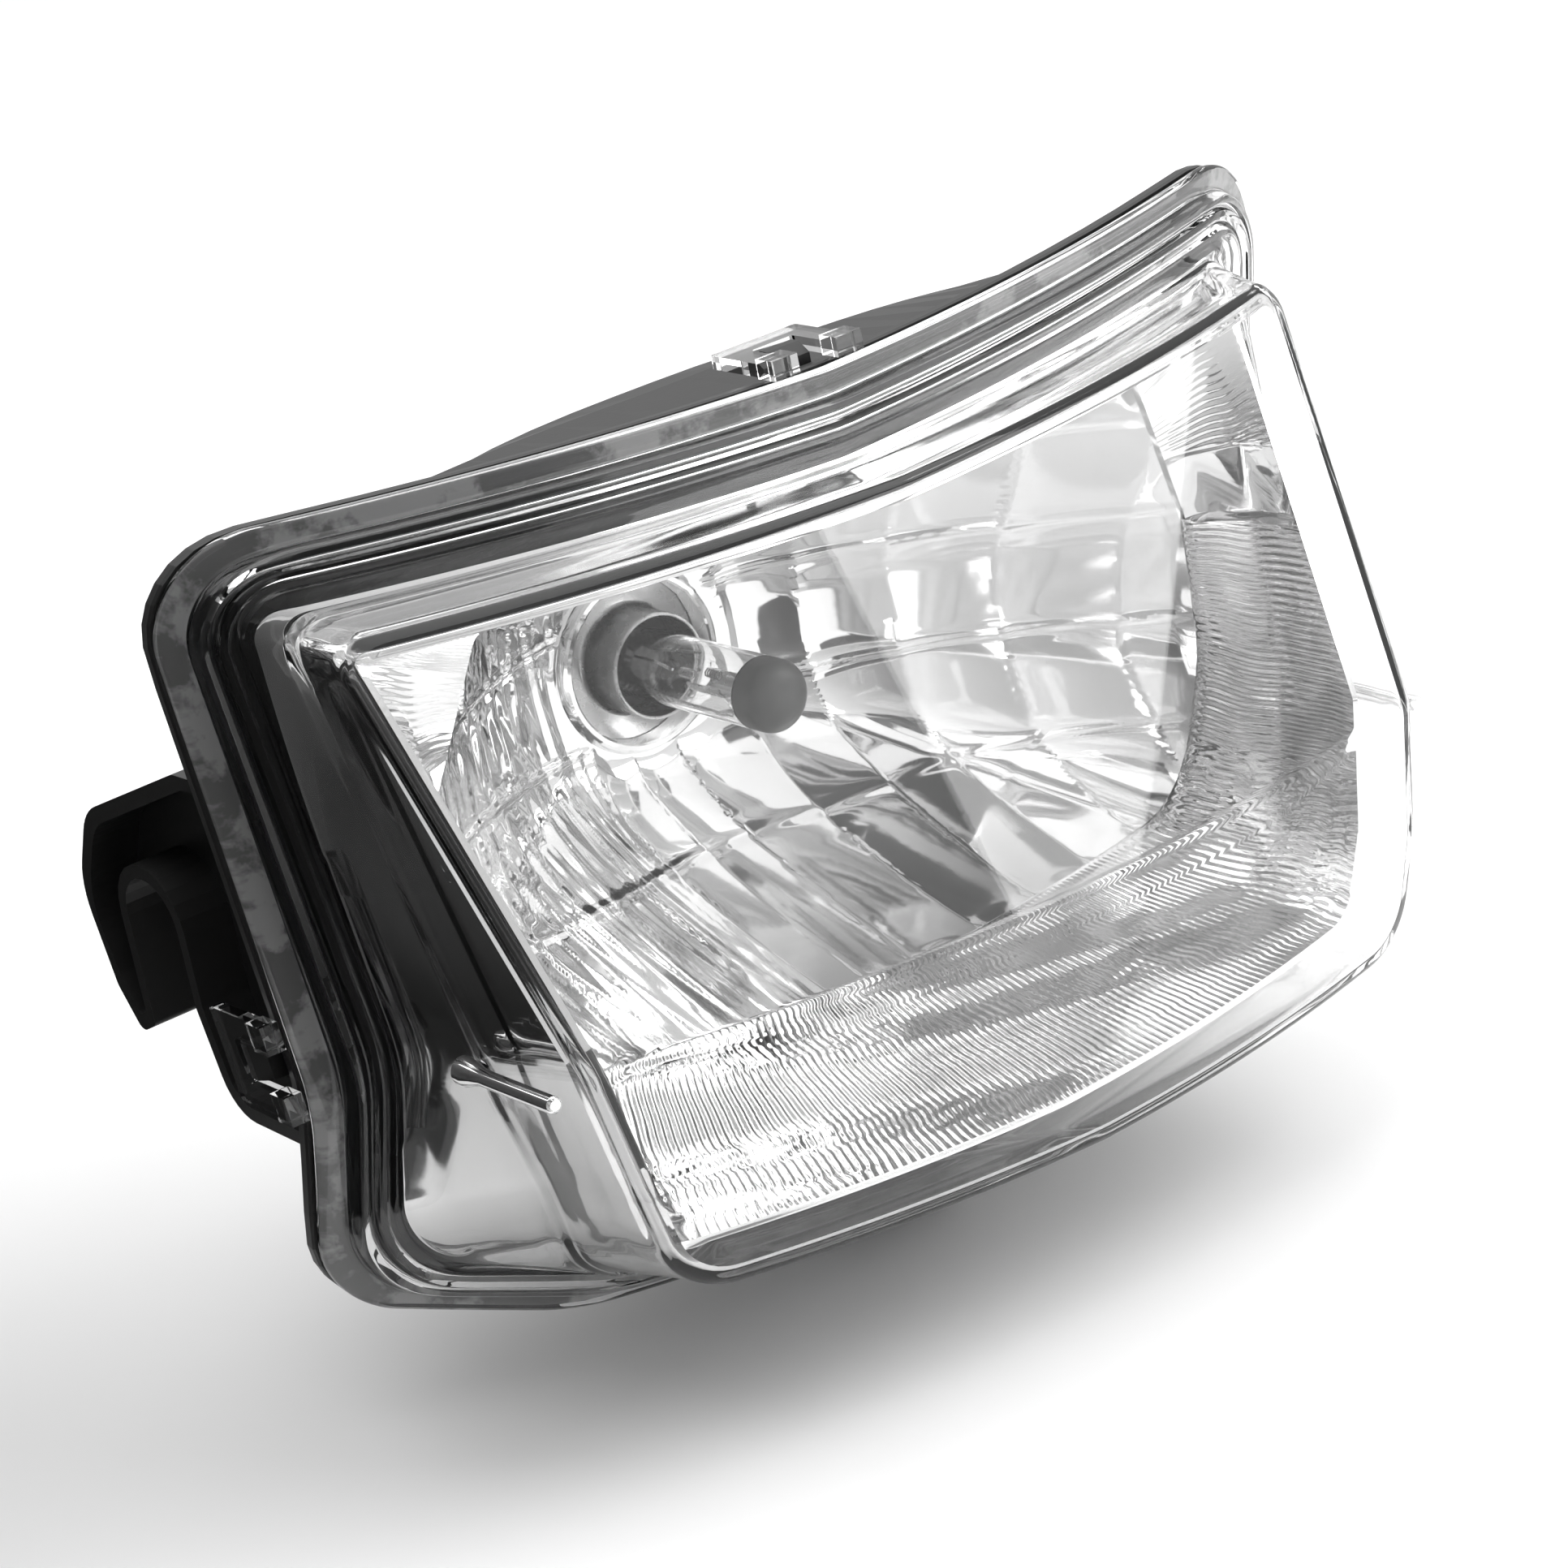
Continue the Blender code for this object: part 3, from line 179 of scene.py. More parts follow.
def roundCorners(corners, arcPoints):
    # Each corner becomes an arc that touches both its sides
    points = []
    for i, (a, b, radius) in enumerate(corners):
        here = np.array([a, b], float)
        back = np.array(corners[i - 1][:2], float) - here
        ahead = np.array(corners[(i + 1) % len(corners)][:2], float) - here
        backLen, aheadLen = np.linalg.norm(back), np.linalg.norm(ahead)
        back, ahead = back / backLen, ahead / aheadLen
        half = 0.5 * math.acos(max(-1.0, min(1.0, float(back @ ahead))))
        if radius <= 0 or half > math.pi / 2 - 0.01:
            points.append(here)
            continue
        reach = min(radius / math.tan(half), 0.49 * backLen, 0.49 * aheadLen)
        radius = reach * math.tan(half)
        centre = here + (back + ahead) / np.linalg.norm(back + ahead) * radius / math.sin(half)
        first, last = here + back * reach - centre, here + ahead * reach - centre
        start = math.atan2(first[1], first[0])
        turn = (math.atan2(last[1], last[0]) - start + math.pi) % (2 * math.pi) - math.pi
        angle = start + turn * np.linspace(0, 1, arcPoints + 1)
        points.extend(centre + radius * np.stack([np.cos(angle), np.sin(angle)], 1))
    return np.array(points)


def outlineOf(name, arcPoints=24):
    # The named corners and their mirror images, rounded
    top, bottom, right = outlines[name]
    left = [(-x, z, r) for x, z, r in reversed(right)]
    return roundCorners([(0.0, top, 0.0), *right, (0.0, bottom, 0.0), *left], arcPoints)


class Rays:  # the outlines as a radius at each of a set of angles round the bulb's axis
    def __init__(self, name, count, bendShare=45.0):
        points = outlineOf(name)
        run = np.roll(points, -1, 0) - points
        heading = np.arctan2(run[:, 1], run[:, 0])
        turn = np.abs((heading - np.roll(heading, 1) + np.pi) % (2 * np.pi) - np.pi)
        weight = np.hypot(*run.T) + bendShare * 0.5 * (turn + np.roll(turn, -1))
        dense = np.concatenate([points, points[:1]])
        along = np.concatenate([[0], np.cumsum(weight)])
        at = (np.arange(count) + 0.5) * along[-1] / count
        x, z = (np.interp(at, along, dense[:, k]) for k in (0, 1))
        self.angles = np.sort(np.arctan2(z, x))
        self.cos, self.sin = np.cos(self.angles), np.sin(self.angles)

    def polar(self, points):
        # Radius where each ray meets the chord between its two neighbouring outline points
        theta, radius = np.arctan2(points[:, 1], points[:, 0]), np.hypot(points[:, 0], points[:, 1])
        order = np.argsort(theta)
        theta, radius = theta[order], radius[order]
        theta = np.concatenate([theta - 2 * np.pi, theta, theta + 2 * np.pi])
        radius = np.tile(radius, 3)
        found = np.searchsorted(theta, self.angles)
        t0, t1, r0, r1 = theta[found - 1], theta[found], radius[found - 1], radius[found]
        return r0 * r1 * np.sin(t1 - t0) / (r1 * np.sin(t1 - self.angles) + r0 * np.sin(self.angles - t0))

    def of(self, name):
        # A named outline on these rays
        return self.polar(outlineOf(name))

    def offset(self, radius, distance):
        # Moves each outline point along its own normal, outwards if distance is positive
        points = np.stack([radius * self.cos, radius * self.sin], 1)
        tangent = np.roll(points, -1, 0) - np.roll(points, 1, 0)
        tangent /= np.linalg.norm(tangent, axis=1)[:, None]
        return self.polar(points + distance * np.stack([tangent[:, 1], -tangent[:, 0]], 1))

    def ring(self, radius, depth, bulge=1.0):
        # x, z from the polar radius; y is depth(z), swept back with the square of x
        x, z = radius * self.cos, radius * self.sin
        y = depth(z) if callable(depth) else np.full_like(x, depth)
        return np.stack([x, y + bulge * depths["bulge"] * (x / 100) ** 2, z], 1)


def tableOf(name):
    # Depth at a height, on straight lines between the named table's points
    heights, values = zip(*depths[name])
    return lambda z: np.interp(z, heights, values)


def flangeDepth(z):
    return depths["flangeTop"] + depths["flangeLean"] * (outlines["flange"][0] - z)


def behind(depth, distance):
    # The same surface, set back by a distance
    return lambda z: depth(z) + distance


def blendOf(first, second, share):
    return first + (second - first) * share


def smoothLoops(loops, steps, closed=False):
    # Catmull-Rom curve through the loops, along the profile, with steps points between each pair
    loops = np.array(loops)
    count = len(loops)
    if closed:
        before, after, beyond = np.roll(loops, 1, 0), np.roll(loops, -1, 0), np.roll(loops, -2, 0)
        spans = range(count)
    else:
        before = np.concatenate([loops[:1], loops[:-1]])
        after = np.concatenate([loops[1:], loops[-1:]])
        beyond = np.concatenate([loops[2:], loops[-1:], loops[-1:]])
        spans = range(count - 1)
    rows = []
    for i in spans:
        p0, p1, p2, p3 = before[i], loops[i], after[i], beyond[i]
        length = np.linalg.norm(p2 - p1, axis=1)[:, None] + 1e-6
        slopeA = (p2 - p0) / (np.linalg.norm(p2 - p0, axis=1)[:, None] + 1e-6) * length
        slopeB = (p3 - p1) / (np.linalg.norm(p3 - p1, axis=1)[:, None] + 1e-6) * length
        for step in range(steps):
            t = step / steps
            rows.append(p1 * (2 * t ** 3 - 3 * t ** 2 + 1) + p2 * (3 * t ** 2 - 2 * t ** 3)
                        + slopeA * (t ** 3 - 2 * t ** 2 + t) * 0.55 + slopeB * (t ** 3 - t ** 2) * 0.55)
    if not closed:
        rows.append(loops[-1])
    return np.array(rows)


def gridFaces(rows, columns, closedRows, closedColumns):
    # Four corner numbers for each square of a grid, which may close round either way
    i = np.arange(rows if closedRows else rows - 1)[:, None]
    j = np.arange(columns if closedColumns else columns - 1)[None, :]
    ii, jj = (i + 1) % rows, (j + 1) % columns
    corners = [i * columns + j, i * columns + jj, ii * columns + jj, ii * columns + j]
    return np.stack([np.broadcast_to(c, (len(i), j.shape[1])) for c in corners], -1).reshape(-1, 4)


def meshOf(name, points, quads, triangles=None, sharpAngle=None):
    # Points are in mm on the lamp's drawing; quads and triangles index into them
    points = points.reshape(-1, 3) * 0.001 + lampOrigin
    faces = [quads.reshape(-1)]
    sizes = [np.full(len(quads), 4)]
    if triangles is not None and len(triangles):
        faces.append(triangles.reshape(-1))
        sizes.append(np.full(len(triangles), 3))
    loops, sizes = np.concatenate(faces), np.concatenate(sizes)
    mesh = bpy.data.meshes.new(name)
    mesh.vertices.add(len(points))
    mesh.vertices.foreach_set("co", points.astype(np.float32).reshape(-1))
    mesh.loops.add(len(loops))
    mesh.loops.foreach_set("vertex_index", loops.astype(np.int32))
    mesh.polygons.add(len(sizes))
    mesh.polygons.foreach_set("loop_start", np.concatenate([[0], np.cumsum(sizes)[:-1]]).astype(np.int32))
    mesh.polygons.foreach_set("loop_total", sizes.astype(np.int32))
    mesh.update(calc_edges=True)
    mesh.validate()
    mesh.shade_smooth()
    if sharpAngle:
        mesh.set_sharp_from_angle(angle=math.radians(sharpAngle))
    volume = np.einsum("ij,ij->", points[quads[:, 0]], np.cross(points[quads[:, 1]] - points[quads[:, 0]],
                                                                points[quads[:, 2]] - points[quads[:, 0]]))
    if volume < 0:
        mesh.flip_normals()
    obj = bpy.data.objects.new(name, mesh)
    bpy.context.scene.collection.objects.link(obj)
    return obj


axisR = 0.01  # radius, in mm, at which a turned profile ends at its axis


def lathe(name, profile, steps=96, sharpAngle=35, centre=(0.0, 0.0)):
    # Turns a closed (radius, y) profile about the Y axis
    profile = np.array(profile, float)
    angle = 2 * np.pi * np.arange(steps) / steps
    r, y = profile[:, :1], profile[:, 1:]
    points = np.stack([centre[0] + r * np.cos(angle), np.broadcast_to(y, (len(profile), steps)),
                       centre[1] + r * np.sin(angle)], -1)
    return meshOf(name, points, gridFaces(len(profile), steps, True, True), None, sharpAngle)


def adopt(piece, body, slotName, finish, *nodes):
    # Hands a piece to its body, with its finish and the CAD nodes that it stands for
    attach(piece, body)
    if nodes:
        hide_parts(*nodes)
    piece.data.materials.clear()
    piece.data.materials.append(finish)
    return piece


def clearPlastic(name, tint=0.97):
    made = Finish(name)
    haze = made.noise(40.0, 4.0)
    made.set(Base_Color=(tint, tint, tint, 1), Roughness=haze * 0.03 + 0.004, IOR=1.5,
             Transmission_Weight=1.0)
    made.bump(made.noise(22.0, 2.0), 0.02, 0.0004)
    return made.material


def mirrorFilm(name, brightness=0.9, ripple=0.03):
    made = Finish(name)
    spots = made.noise(60.0, 5.0)
    made.set(Base_Color=made.mix(spots, brightness, brightness * 0.93), Metallic=1.0,
             Roughness=spots * 0.08 + 0.02)
    made.bump(made.noise(90.0, 3.0), ripple, 0.0006)
    return made.material


def mouldedBlack(name, shade=0.012, rough=0.42):
    made = Finish(name)
    grain = made.noise(900.0, 2.0)
    wear = made.noise(18.0, 4.0)
    made.set(Base_Color=made.mix(wear, shade * 0.8, shade * 1.7),
             Roughness=wear * 0.2 + (rough - 0.1))
    made.bump(grain, 0.12, 0.0002)
    return made.material


def blackRubber(name):
    made = Finish(name)
    dust = made.noise(35.0, 5.0)
    made.set(Base_Color=made.mix(dust, 0.014, 0.034), Roughness=dust * 0.2 + 0.6)
    made.bump(made.noise(600.0, 2.0), 0.2, 0.0002)
    return made.material


def platedSteel(name, shade=0.62):
    made = Finish(name)
    marks = made.noise(220.0, 4.0)
    made.set(Base_Color=made.mix(marks, shade, shade * 0.75), Metallic=1.0,
             Roughness=marks * 0.25 + 0.15)
    made.bump(marks, 0.05, 0.0002)
    return made.material


def satinPaint(name, shade=0.11):
    made = Finish(name)
    cloud = made.noise(160.0, 4.0)
    made.set(Base_Color=made.mix(cloud, shade * 0.7, shade * 1.5), Roughness=cloud * 0.3 + 0.35,
             Coat_Weight=0.15)
    made.bump(made.noise(500.0, 3.0), 0.1, 0.0002)
    return made.material


def sealantGrey(name):
    made = Finish(name)
    smear = made.noise(55.0, 5.0, 0.65)
    patches = made.add("ShaderNodeValToRGB", {"stops": ((0.44, (0.42,) * 3), (0.52, (0.16,) * 3))}, Fac=smear)
    made.set(Base_Color=made.read(patches), Roughness=smear * 0.3 + 0.4)
    made.bump(smear, 0.3, 0.0004)
    return made.material


finishes = {
    "sealant": sealantGrey("sealantGrey"),
    "lens": clearPlastic("lensClear"), "clip": clearPlastic("clipClear", 0.93),
    "bowl": mirrorFilm("bowlMirror", 0.9, 0.05), "bezel": mirrorFilm("bezelMirror", 0.82, 0.02),
    "shell": mouldedBlack("shellBlack"), "rubber": blackRubber("bootRubber"),
    "steel": platedSteel("platedSteel"),
    "glass": clearPlastic("bulbClear", 0.99), "paint": satinPaint("bulbTipPaint"),
    "base": mouldedBlack("bulbBaseBlack", 0.02, 0.5), "contact": platedSteel("contactMetal", 0.7),
    "tungsten": platedSteel("tungstenGrey", 0.35),
}
print("finishes made:", len(finishes))


lensSetup = {"rays": 420, "creases": (-28.4, -57.0), "innerSpans": (16, 5, 5), "edgeRound": 4.0,
             "pinAt": (119.2, -32.4), "pinEnd": -127.0, "pinR": 1.9, "pinRoot": -93.0}


def faceRings(rays, edge, depth, creases):
    # Rings from the edge to the middle; two of them follow the creases wherever a ray crosses one
    sink = np.minimum(rays.sin, -1e-4)
    upper = np.clip(creases[0] / sink / edge, 0.0, 0.93)
    lower = np.clip(creases[1] / sink / edge, 0.0, 0.965)
    lower = np.maximum(lower, upper + 0.02)
    spans = lensSetup["innerSpans"]
    shares = [1 - (1 - lower) * t for t in np.linspace(0, 1, spans[2], endpoint=False)]
    shares += [lower + (upper - lower) * t for t in np.linspace(0, 1, spans[1], endpoint=False)]
    shares += [upper * (1 - t) for t in np.linspace(0, 1, spans[0], endpoint=False)]
    return [rays.ring(edge * share, depth) for share in shares]


def makeLens():
    # Rings carried over the flange, its ridge, the skirt and the face, then back along the inner wall
    rays = Rays("flange", lensSetup["rays"])
    flange, panel, dome, face = (rays.of(n) for n in ("flange", "panel", "dome", "face"))
    domeY, faceY = tableOf("dome"), tableOf("face")
    wall, ridgeH, thick = depths["wall"], depths["ridge"], depths["flangeThick"]
    ridge = rays.offset(panel, 4.0)
    y = flangeDepth
    profile = [
        rays.ring(blendOf(flange, ridge, 0.9), behind(y, thick)),
        rays.ring(rays.offset(flange, -0.6), behind(y, thick)),
        rays.ring(flange, behind(y, 2.4)),
        rays.ring(flange, behind(y, 0.8)),
        rays.ring(rays.offset(flange, -0.8), y),
        rays.ring(blendOf(flange, ridge, 0.48), y),
        rays.ring(blendOf(flange, ridge, 0.54), behind(y, -0.5)),
        rays.ring(blendOf(flange, ridge, 0.60), behind(y, -ridgeH + 1.0)),
        rays.ring(blendOf(flange, ridge, 0.66), behind(y, -ridgeH)),
        rays.ring(blendOf(flange, ridge, 0.80), behind(y, -ridgeH)),
        rays.ring(blendOf(flange, ridge, 0.86), behind(y, -ridgeH + 1.1)),
        rays.ring(blendOf(flange, ridge, 0.94), behind(y, -ridgeH + 0.6)),
        rays.ring(ridge, behind(y, -ridgeH - 0.9)),
        rays.ring(rays.offset(panel, 2.6), behind(y, -ridgeH - 1.0)),
        rays.ring(rays.offset(panel, 1.5), behind(y, -ridgeH + 0.2)),
        rays.ring(rays.offset(panel, 0.3), behind(y, -ridgeH - 0.4)),
        rays.ring(blendOf(panel, dome, 0.04), behind(y, -ridgeH - 1.2)),
    ]
    skirtTop, domeBase = profile[-1], rays.ring(dome, domeY)
    profile += [blendOf(skirtTop, domeBase, t) for t in (0.25, 0.5, 0.75, 0.96)]
    profile += [domeBase + np.array([0, -0.6, 0]), rays.ring(rays.offset(dome, -1.0), behind(domeY, -2.6))]
    shoulder = rays.ring(rays.offset(face, 0.4), behind(faceY, lensSetup["edgeRound"] + 1.0))
    profile += [blendOf(profile[-1], shoulder, t) for t in (0.33, 0.66, 1.0)]
    profile += [rays.ring(rays.offset(face, 0.1), behind(faceY, 2.6)),
                rays.ring(rays.offset(face, -0.9), behind(faceY, 1.0))]
    rounded = smoothLoops(profile, 3)
    front = faceRings(rays, rays.offset(face, -2.6), behind(faceY, 0.0), lensSetup["creases"])
    innerEdge = rays.offset(face, -wall - 1.6)
    back = faceRings(rays, innerEdge, behind(faceY, wall), lensSetup["creases"])[::-1]
    inside = [
        rays.ring(rays.offset(face, -wall - 0.6), behind(faceY, wall + 0.9)),
        rays.ring(rays.offset(face, -wall), behind(faceY, wall + 3.5)),
        rays.ring(rays.offset(dome, -wall - 0.8), behind(domeY, wall - 1.0)),
        rays.ring(rays.offset(panel, -2.6), behind(y, -ridgeH + wall)),
        rays.ring(rays.offset(panel, -1.0), behind(y, -0.6)),
        rays.ring(rays.offset(ridge, -1.0), behind(y, -0.4)),
    ]
    inner = smoothLoops([back[-1], *inside, profile[0]], 3)[1:-1]
    # The rings run from the inner face's middle round the flange to the front's middle; a fan closes each
    rings = np.concatenate([back, inner, rounded, front])
    count, columns = rings.shape[:2]
    points = np.concatenate([rings.reshape(-1, 3), [rings[0].mean(0), rings[-1].mean(0)]])
    here, ahead = np.arange(columns), (np.arange(columns) + 1) % columns
    lastRing, innerMiddle = (count - 1) * columns, np.full(columns, count * columns)
    fans = np.concatenate([np.stack([ahead, here, innerMiddle], 1),
                           np.stack([lastRing + here, lastRing + ahead, innerMiddle + 1], 1)])
    lens = meshOf("lensShell", points, gridFaces(count, columns, False, True), fans, 28)
    adopt(lens, "lamp", "clear_plastic", finishes["lens"], "lens")
    pinX, pinZ = lensSetup["pinAt"]
    end, r, root = lensSetup["pinEnd"], lensSetup["pinR"], lensSetup["pinRoot"]
    pinProfile = [(axisR, end), (r - 0.6, end), (r - 0.15, end + 0.4), (r, end + 1.0), (r, root - 8.0),
                  (r + 0.5, root - 5.0), (r + 1.3, root - 2.5), (r + 1.3, root), (axisR, root)]
    for side, label in ((-1, "Left"), (1, "Right")):
        pin = lathe("lensPin" + label, pinProfile, 40, 40, (side * pinX, pinZ))
        adopt(pin, "lamp", "clear_plastic", finishes["lens"])
    print("lens made:", len(points), "points")


makeLens()


sealSetup = {"outer": 1.2, "inner": 7.4, "front": 3.3, "back": 4.7}


def makeSeal():
    # A flat band under the flange: six rings round its section
    rays = Rays("flange", lensSetup["rays"])
    flange = rays.of("flange")
    out, inn = rays.offset(flange, -sealSetup["outer"]), rays.offset(flange, -sealSetup["inner"])
    front, back = behind(flangeDepth, sealSetup["front"]), behind(flangeDepth, sealSetup["back"])
    middles = [blendOf(out, inn, share) for share in (0.33, 0.66)]
    rows = np.array([*[rays.ring(radius, front) for radius in (out, *middles, inn)], rays.ring(inn, back),
                     rays.ring(out, back)])
    seal = meshOf("sealRing", rows, gridFaces(len(rows), rows.shape[1], True, True), None, 30)
    adopt(seal, "lamp", "black_rubber", finishes["sealant"], "lens_seal")


makeSeal()
print("seal made")


bowlSetup = {"rays": 760, "radial": 104, "holeR": 19.0, "power": 1.75,
             "columns": (-118.0, -104.0, -93.0, -84.0, -76.0, -68.0, -60.0, -52.0, -44.0, -36.0, -27.0, -17.0,
                         -6.0, 6.0, 24.0, 42.0, 60.0, 78.5, 97.0, 118.0),
             "rows": (-41.0, -16.0, 11.5, 37.0), "hollow": 0.0045, "ridge": 0.55, "ridgeWidth": 0.9,
             "tilt": 0.035, "flutesFrom": -20.0, "flutePitch": 4.2, "fluteDepth": 0.22, "fluteLean": 0.12,
             "ends": 75.0}


def facetRelief(x, z):
    # Each cell is a shallow hollow across its width, tilted a little by its own amount; rows meet in a ridge
    columns = np.array(bowlSetup["columns"])
    at = np.clip(np.searchsorted(columns, x) - 1, 0, len(columns) - 2)
    width = columns[at + 1] - columns[at]
    u = np.clip((x - columns[at]) / width, 0, 1)
    rows = np.array((-bowlSetup["ends"], *bowlSetup["rows"], bowlSetup["ends"]))
    r = np.clip(np.searchsorted(rows, z) - 1, 0, len(rows) - 2)
    height = rows[r + 1] - rows[r]
    v = np.clip((z - rows[r]) / height, 0, 1)
    hollow = bowlSetup["hollow"] * width ** 2 * (4 * u * (1 - u) - 0.5)
    lean = bowlSetup["tilt"] * np.sin(at * 2.3 + r * 4.1) * (v - 0.5) * height
    lean = lean + 0.6 * bowlSetup["tilt"] * np.cos(at * 1.7 + r * 2.9) * (u - 0.5) * width
    nearest = np.abs(z[..., None] - np.array(bowlSetup["rows"])).min(-1)
    ridge = bowlSetup["ridge"] * np.exp(-(nearest / bowlSetup["ridgeWidth"]) ** 2)
    across = np.abs(np.sin(np.pi * (x + bowlSetup["fluteLean"] * z) / bowlSetup["flutePitch"]))
    flutes = np.where(x < bowlSetup["flutesFrom"], bowlSetup["fluteDepth"] * across, 0.0)
    return hollow + lean * np.clip(np.minimum(v, 1 - v) * 8, 0, 1) - ridge - flutes


def makeBowl():
    # The mirror rises from the hole to the rim with a power of the way out, and its facets are added to that
    rays = Rays("bowl", bowlSetup["rays"], 20.0)
    bowl = rays.of("bowl")
    rimY = tableOf("bowl")
    holeR, power = bowlSetup["holeR"], bowlSetup["power"]
    start = holeR + 3.0
    share = np.linspace(1.0, 0.0, bowlSetup["radial"])[:, None]
    radius = start + (bowl[None, :] + 0.3 - start) * share
    x, z = radius * rays.cos, radius * rays.sin
    rim = rimY(bowl * rays.sin) + depths["bulge"] * (bowl * rays.cos / 100) ** 2 + 2.5
    y = 2.5 + (rim[None, :] - 2.5) * share ** power
    fade = np.clip((radius - start) / 6.0, 0, 1) * np.clip((1 - share) / 0.02, 0, 1)  # none at hole and rim
    y = y + facetRelief(x, z) * fade
    front = np.stack([x, y, z], -1)
    circle = np.ones(len(rays.angles))
    hole = [rays.ring(circle * (holeR + step), depth, 0.0) for step, depth in
            ((2.6, 1.6), (2.2, 0.5), (1.6, 0.05), (0.6, 0.0), (0.1, 0.3), (0.0, 1.0), (0.0, 6.0), (18.0, 6.0),
             (18.0, 4.2))]
    backShare = np.linspace(0.22, 1.0, 8)[:, None]
    backRadius = start + (bowl[None, :] + 1.6 - start) * backShare
    backY = 2.5 + (rim[None, :] - 2.5) * backShare ** power + 3.4
    back = np.stack([backRadius * rays.cos, backY, backRadius * rays.sin], -1)
    lipOut = rays.ring(rays.offset(bowl, 4.4), behind(rimY, 2.5))
    lipBack = rays.ring(rays.offset(bowl, 4.4), behind(rimY, 4.7))
    rows = np.concatenate([[lipOut], front, hole, back, [lipBack]])
    bowlShell = meshOf("mirrorBowl", rows, gridFaces(len(rows), rows.shape[1], True, True), None, 24)
    adopt(bowlShell, "lamp", "mirror_plastic", finishes["bowl"], "reflector")
    print("bowl made:", rows.shape)


makeBowl()


bezelSetup = {"rays": 2300, "ribPitch": 2.1, "ribDepth": 0.24, "lipBack": 16.0, "steps": 22,
              "cheek": (-50.0, 8.0), "recess": (8.0, 26.0), "horn": (26.0, 58.0), "shelf": 0.42,
              "crest": 3.0, "recessDepth": 2.4}


def between(values, low, high, lowFade, highFade):
    # 1 between two limits and 0 beyond them, with a slope inside each end
    return np.clip((values - low) / lowFade, 0, 1) * np.clip((high - values) / highFade, 0, 1)


def makeBezel():
    # Rings from under the panel over the skirt to the lip, then along the ribbed wall to the bowl's rim
    rays = Rays("face", bezelSetup["rays"], 10.0)
    panel, dome, face, bowl = (rays.of(n) for n in ("panel", "dome", "face", "bowl"))
    domeY, faceY, rimY = tableOf("dome"), tableOf("face"), tableOf("bowl")
    y = flangeDepth
    edge = rays.offset(panel, -4.5)
    base = rays.offset(dome, -6.3)
    lip = rays.offset(face, -5.6)
    outer = [rays.ring(edge, behind(y, 2.2)), rays.ring(edge, behind(y, 0.2)),
             rays.ring(rays.offset(edge, -0.6), y)]
    skirt = rays.ring(base, behind(domeY, 5.0))
    outer += [blendOf(outer[-1], skirt, t) for t in (0.3, 0.6, 0.9)] + [skirt]
    lipRing = rays.ring(lip, behind(faceY, bezelSetup["lipBack"]))
    lipIn = rays.ring(rays.offset(lip, -1.6), behind(faceY, bezelSetup["lipBack"] + 0.3))
    outer += [blendOf(skirt, lipRing, t) for t in (0.1, 0.5, 0.9)] + [lipRing, lipIn]
    rimRing = rays.ring(bowl, rimY)
    share = np.linspace(0, 1, bezelSetup["steps"])[1:]
    inner = np.array([blendOf(lipIn, rimRing, t) for t in share])
    # The wall is a roof: a crest half way, ribbed across, except for a smooth recess beside the bowl's middle
    z = inner[..., 2]
    radial = np.stack([rays.cos, np.zeros_like(rays.cos), rays.sin], 1)
    t = share[:, None]
    sideOn = np.clip((np.abs(rays.cos) - 0.55) / 0.12, 0, 1)[None, :] * np.ones_like(t)
    crest = np.minimum(t, 1 - t) * 2
    along = np.cumsum(np.linalg.norm(np.diff(lipIn, axis=0, append=lipIn[:1]), axis=1))[None, :]
    wander = 2.6 * np.sin(t * 7 + along * 0.03) + 0.9 * np.sin(t * 15 + along * 0.07)
    phase = (along + wander * np.where(z < -45, 1.0, 0.25)) / bezelSetup["ribPitch"]
    rib = np.sin(2 * np.pi * phase)
    shelf = np.clip((-rays.sin[None, :] - bezelSetup["shelf"]) / 0.06, 0, 1)
    cheek = between(z, *bezelSetup["cheek"], 4, 1.5) * sideOn
    horn = between(z, *bezelSetup["horn"], 1.5, 4) * sideOn
    ribbed = np.clip(shelf + cheek + horn, 0, 1) * np.clip(crest / 0.12, 0, 1)
    recess = between(z, *bezelSetup["recess"], 1.5, 1.5) * sideOn
    push = bezelSetup["ribDepth"] * rib * ribbed * np.where(t < 0.5, 1.0, 0.8)
    push = push + bezelSetup["crest"] * crest * sideOn
    push = push + bezelSetup["recessDepth"] * recess * np.clip(crest / 0.2, 0, 1)
    inner = inner + radial[None, :, :] * push[..., None]
    back = [rays.ring(bowl, behind(rimY, 2.2)), rays.ring(rays.offset(bowl, 5.0), behind(rimY, 2.2)),
            rays.ring(blendOf(rays.offset(bowl, 5.0), base, 0.8), behind(domeY, 11.2))]
    rows = np.concatenate([np.array(outer), inner, back])
    bezel = meshOf("bezelFrame", rows, gridFaces(len(rows), rows.shape[1], True, True), None, 40)
    adopt(bezel, "lamp", "mirror_plastic", finishes["bezel"], "bezel")
    print("bezel made:", rows.shape)


makeBezel()


bulbSetup = {"glassR": 8.4, "tipY": -56.0, "paint": 9.0, "sleeveR": 12.4, "collarR": 21.5}


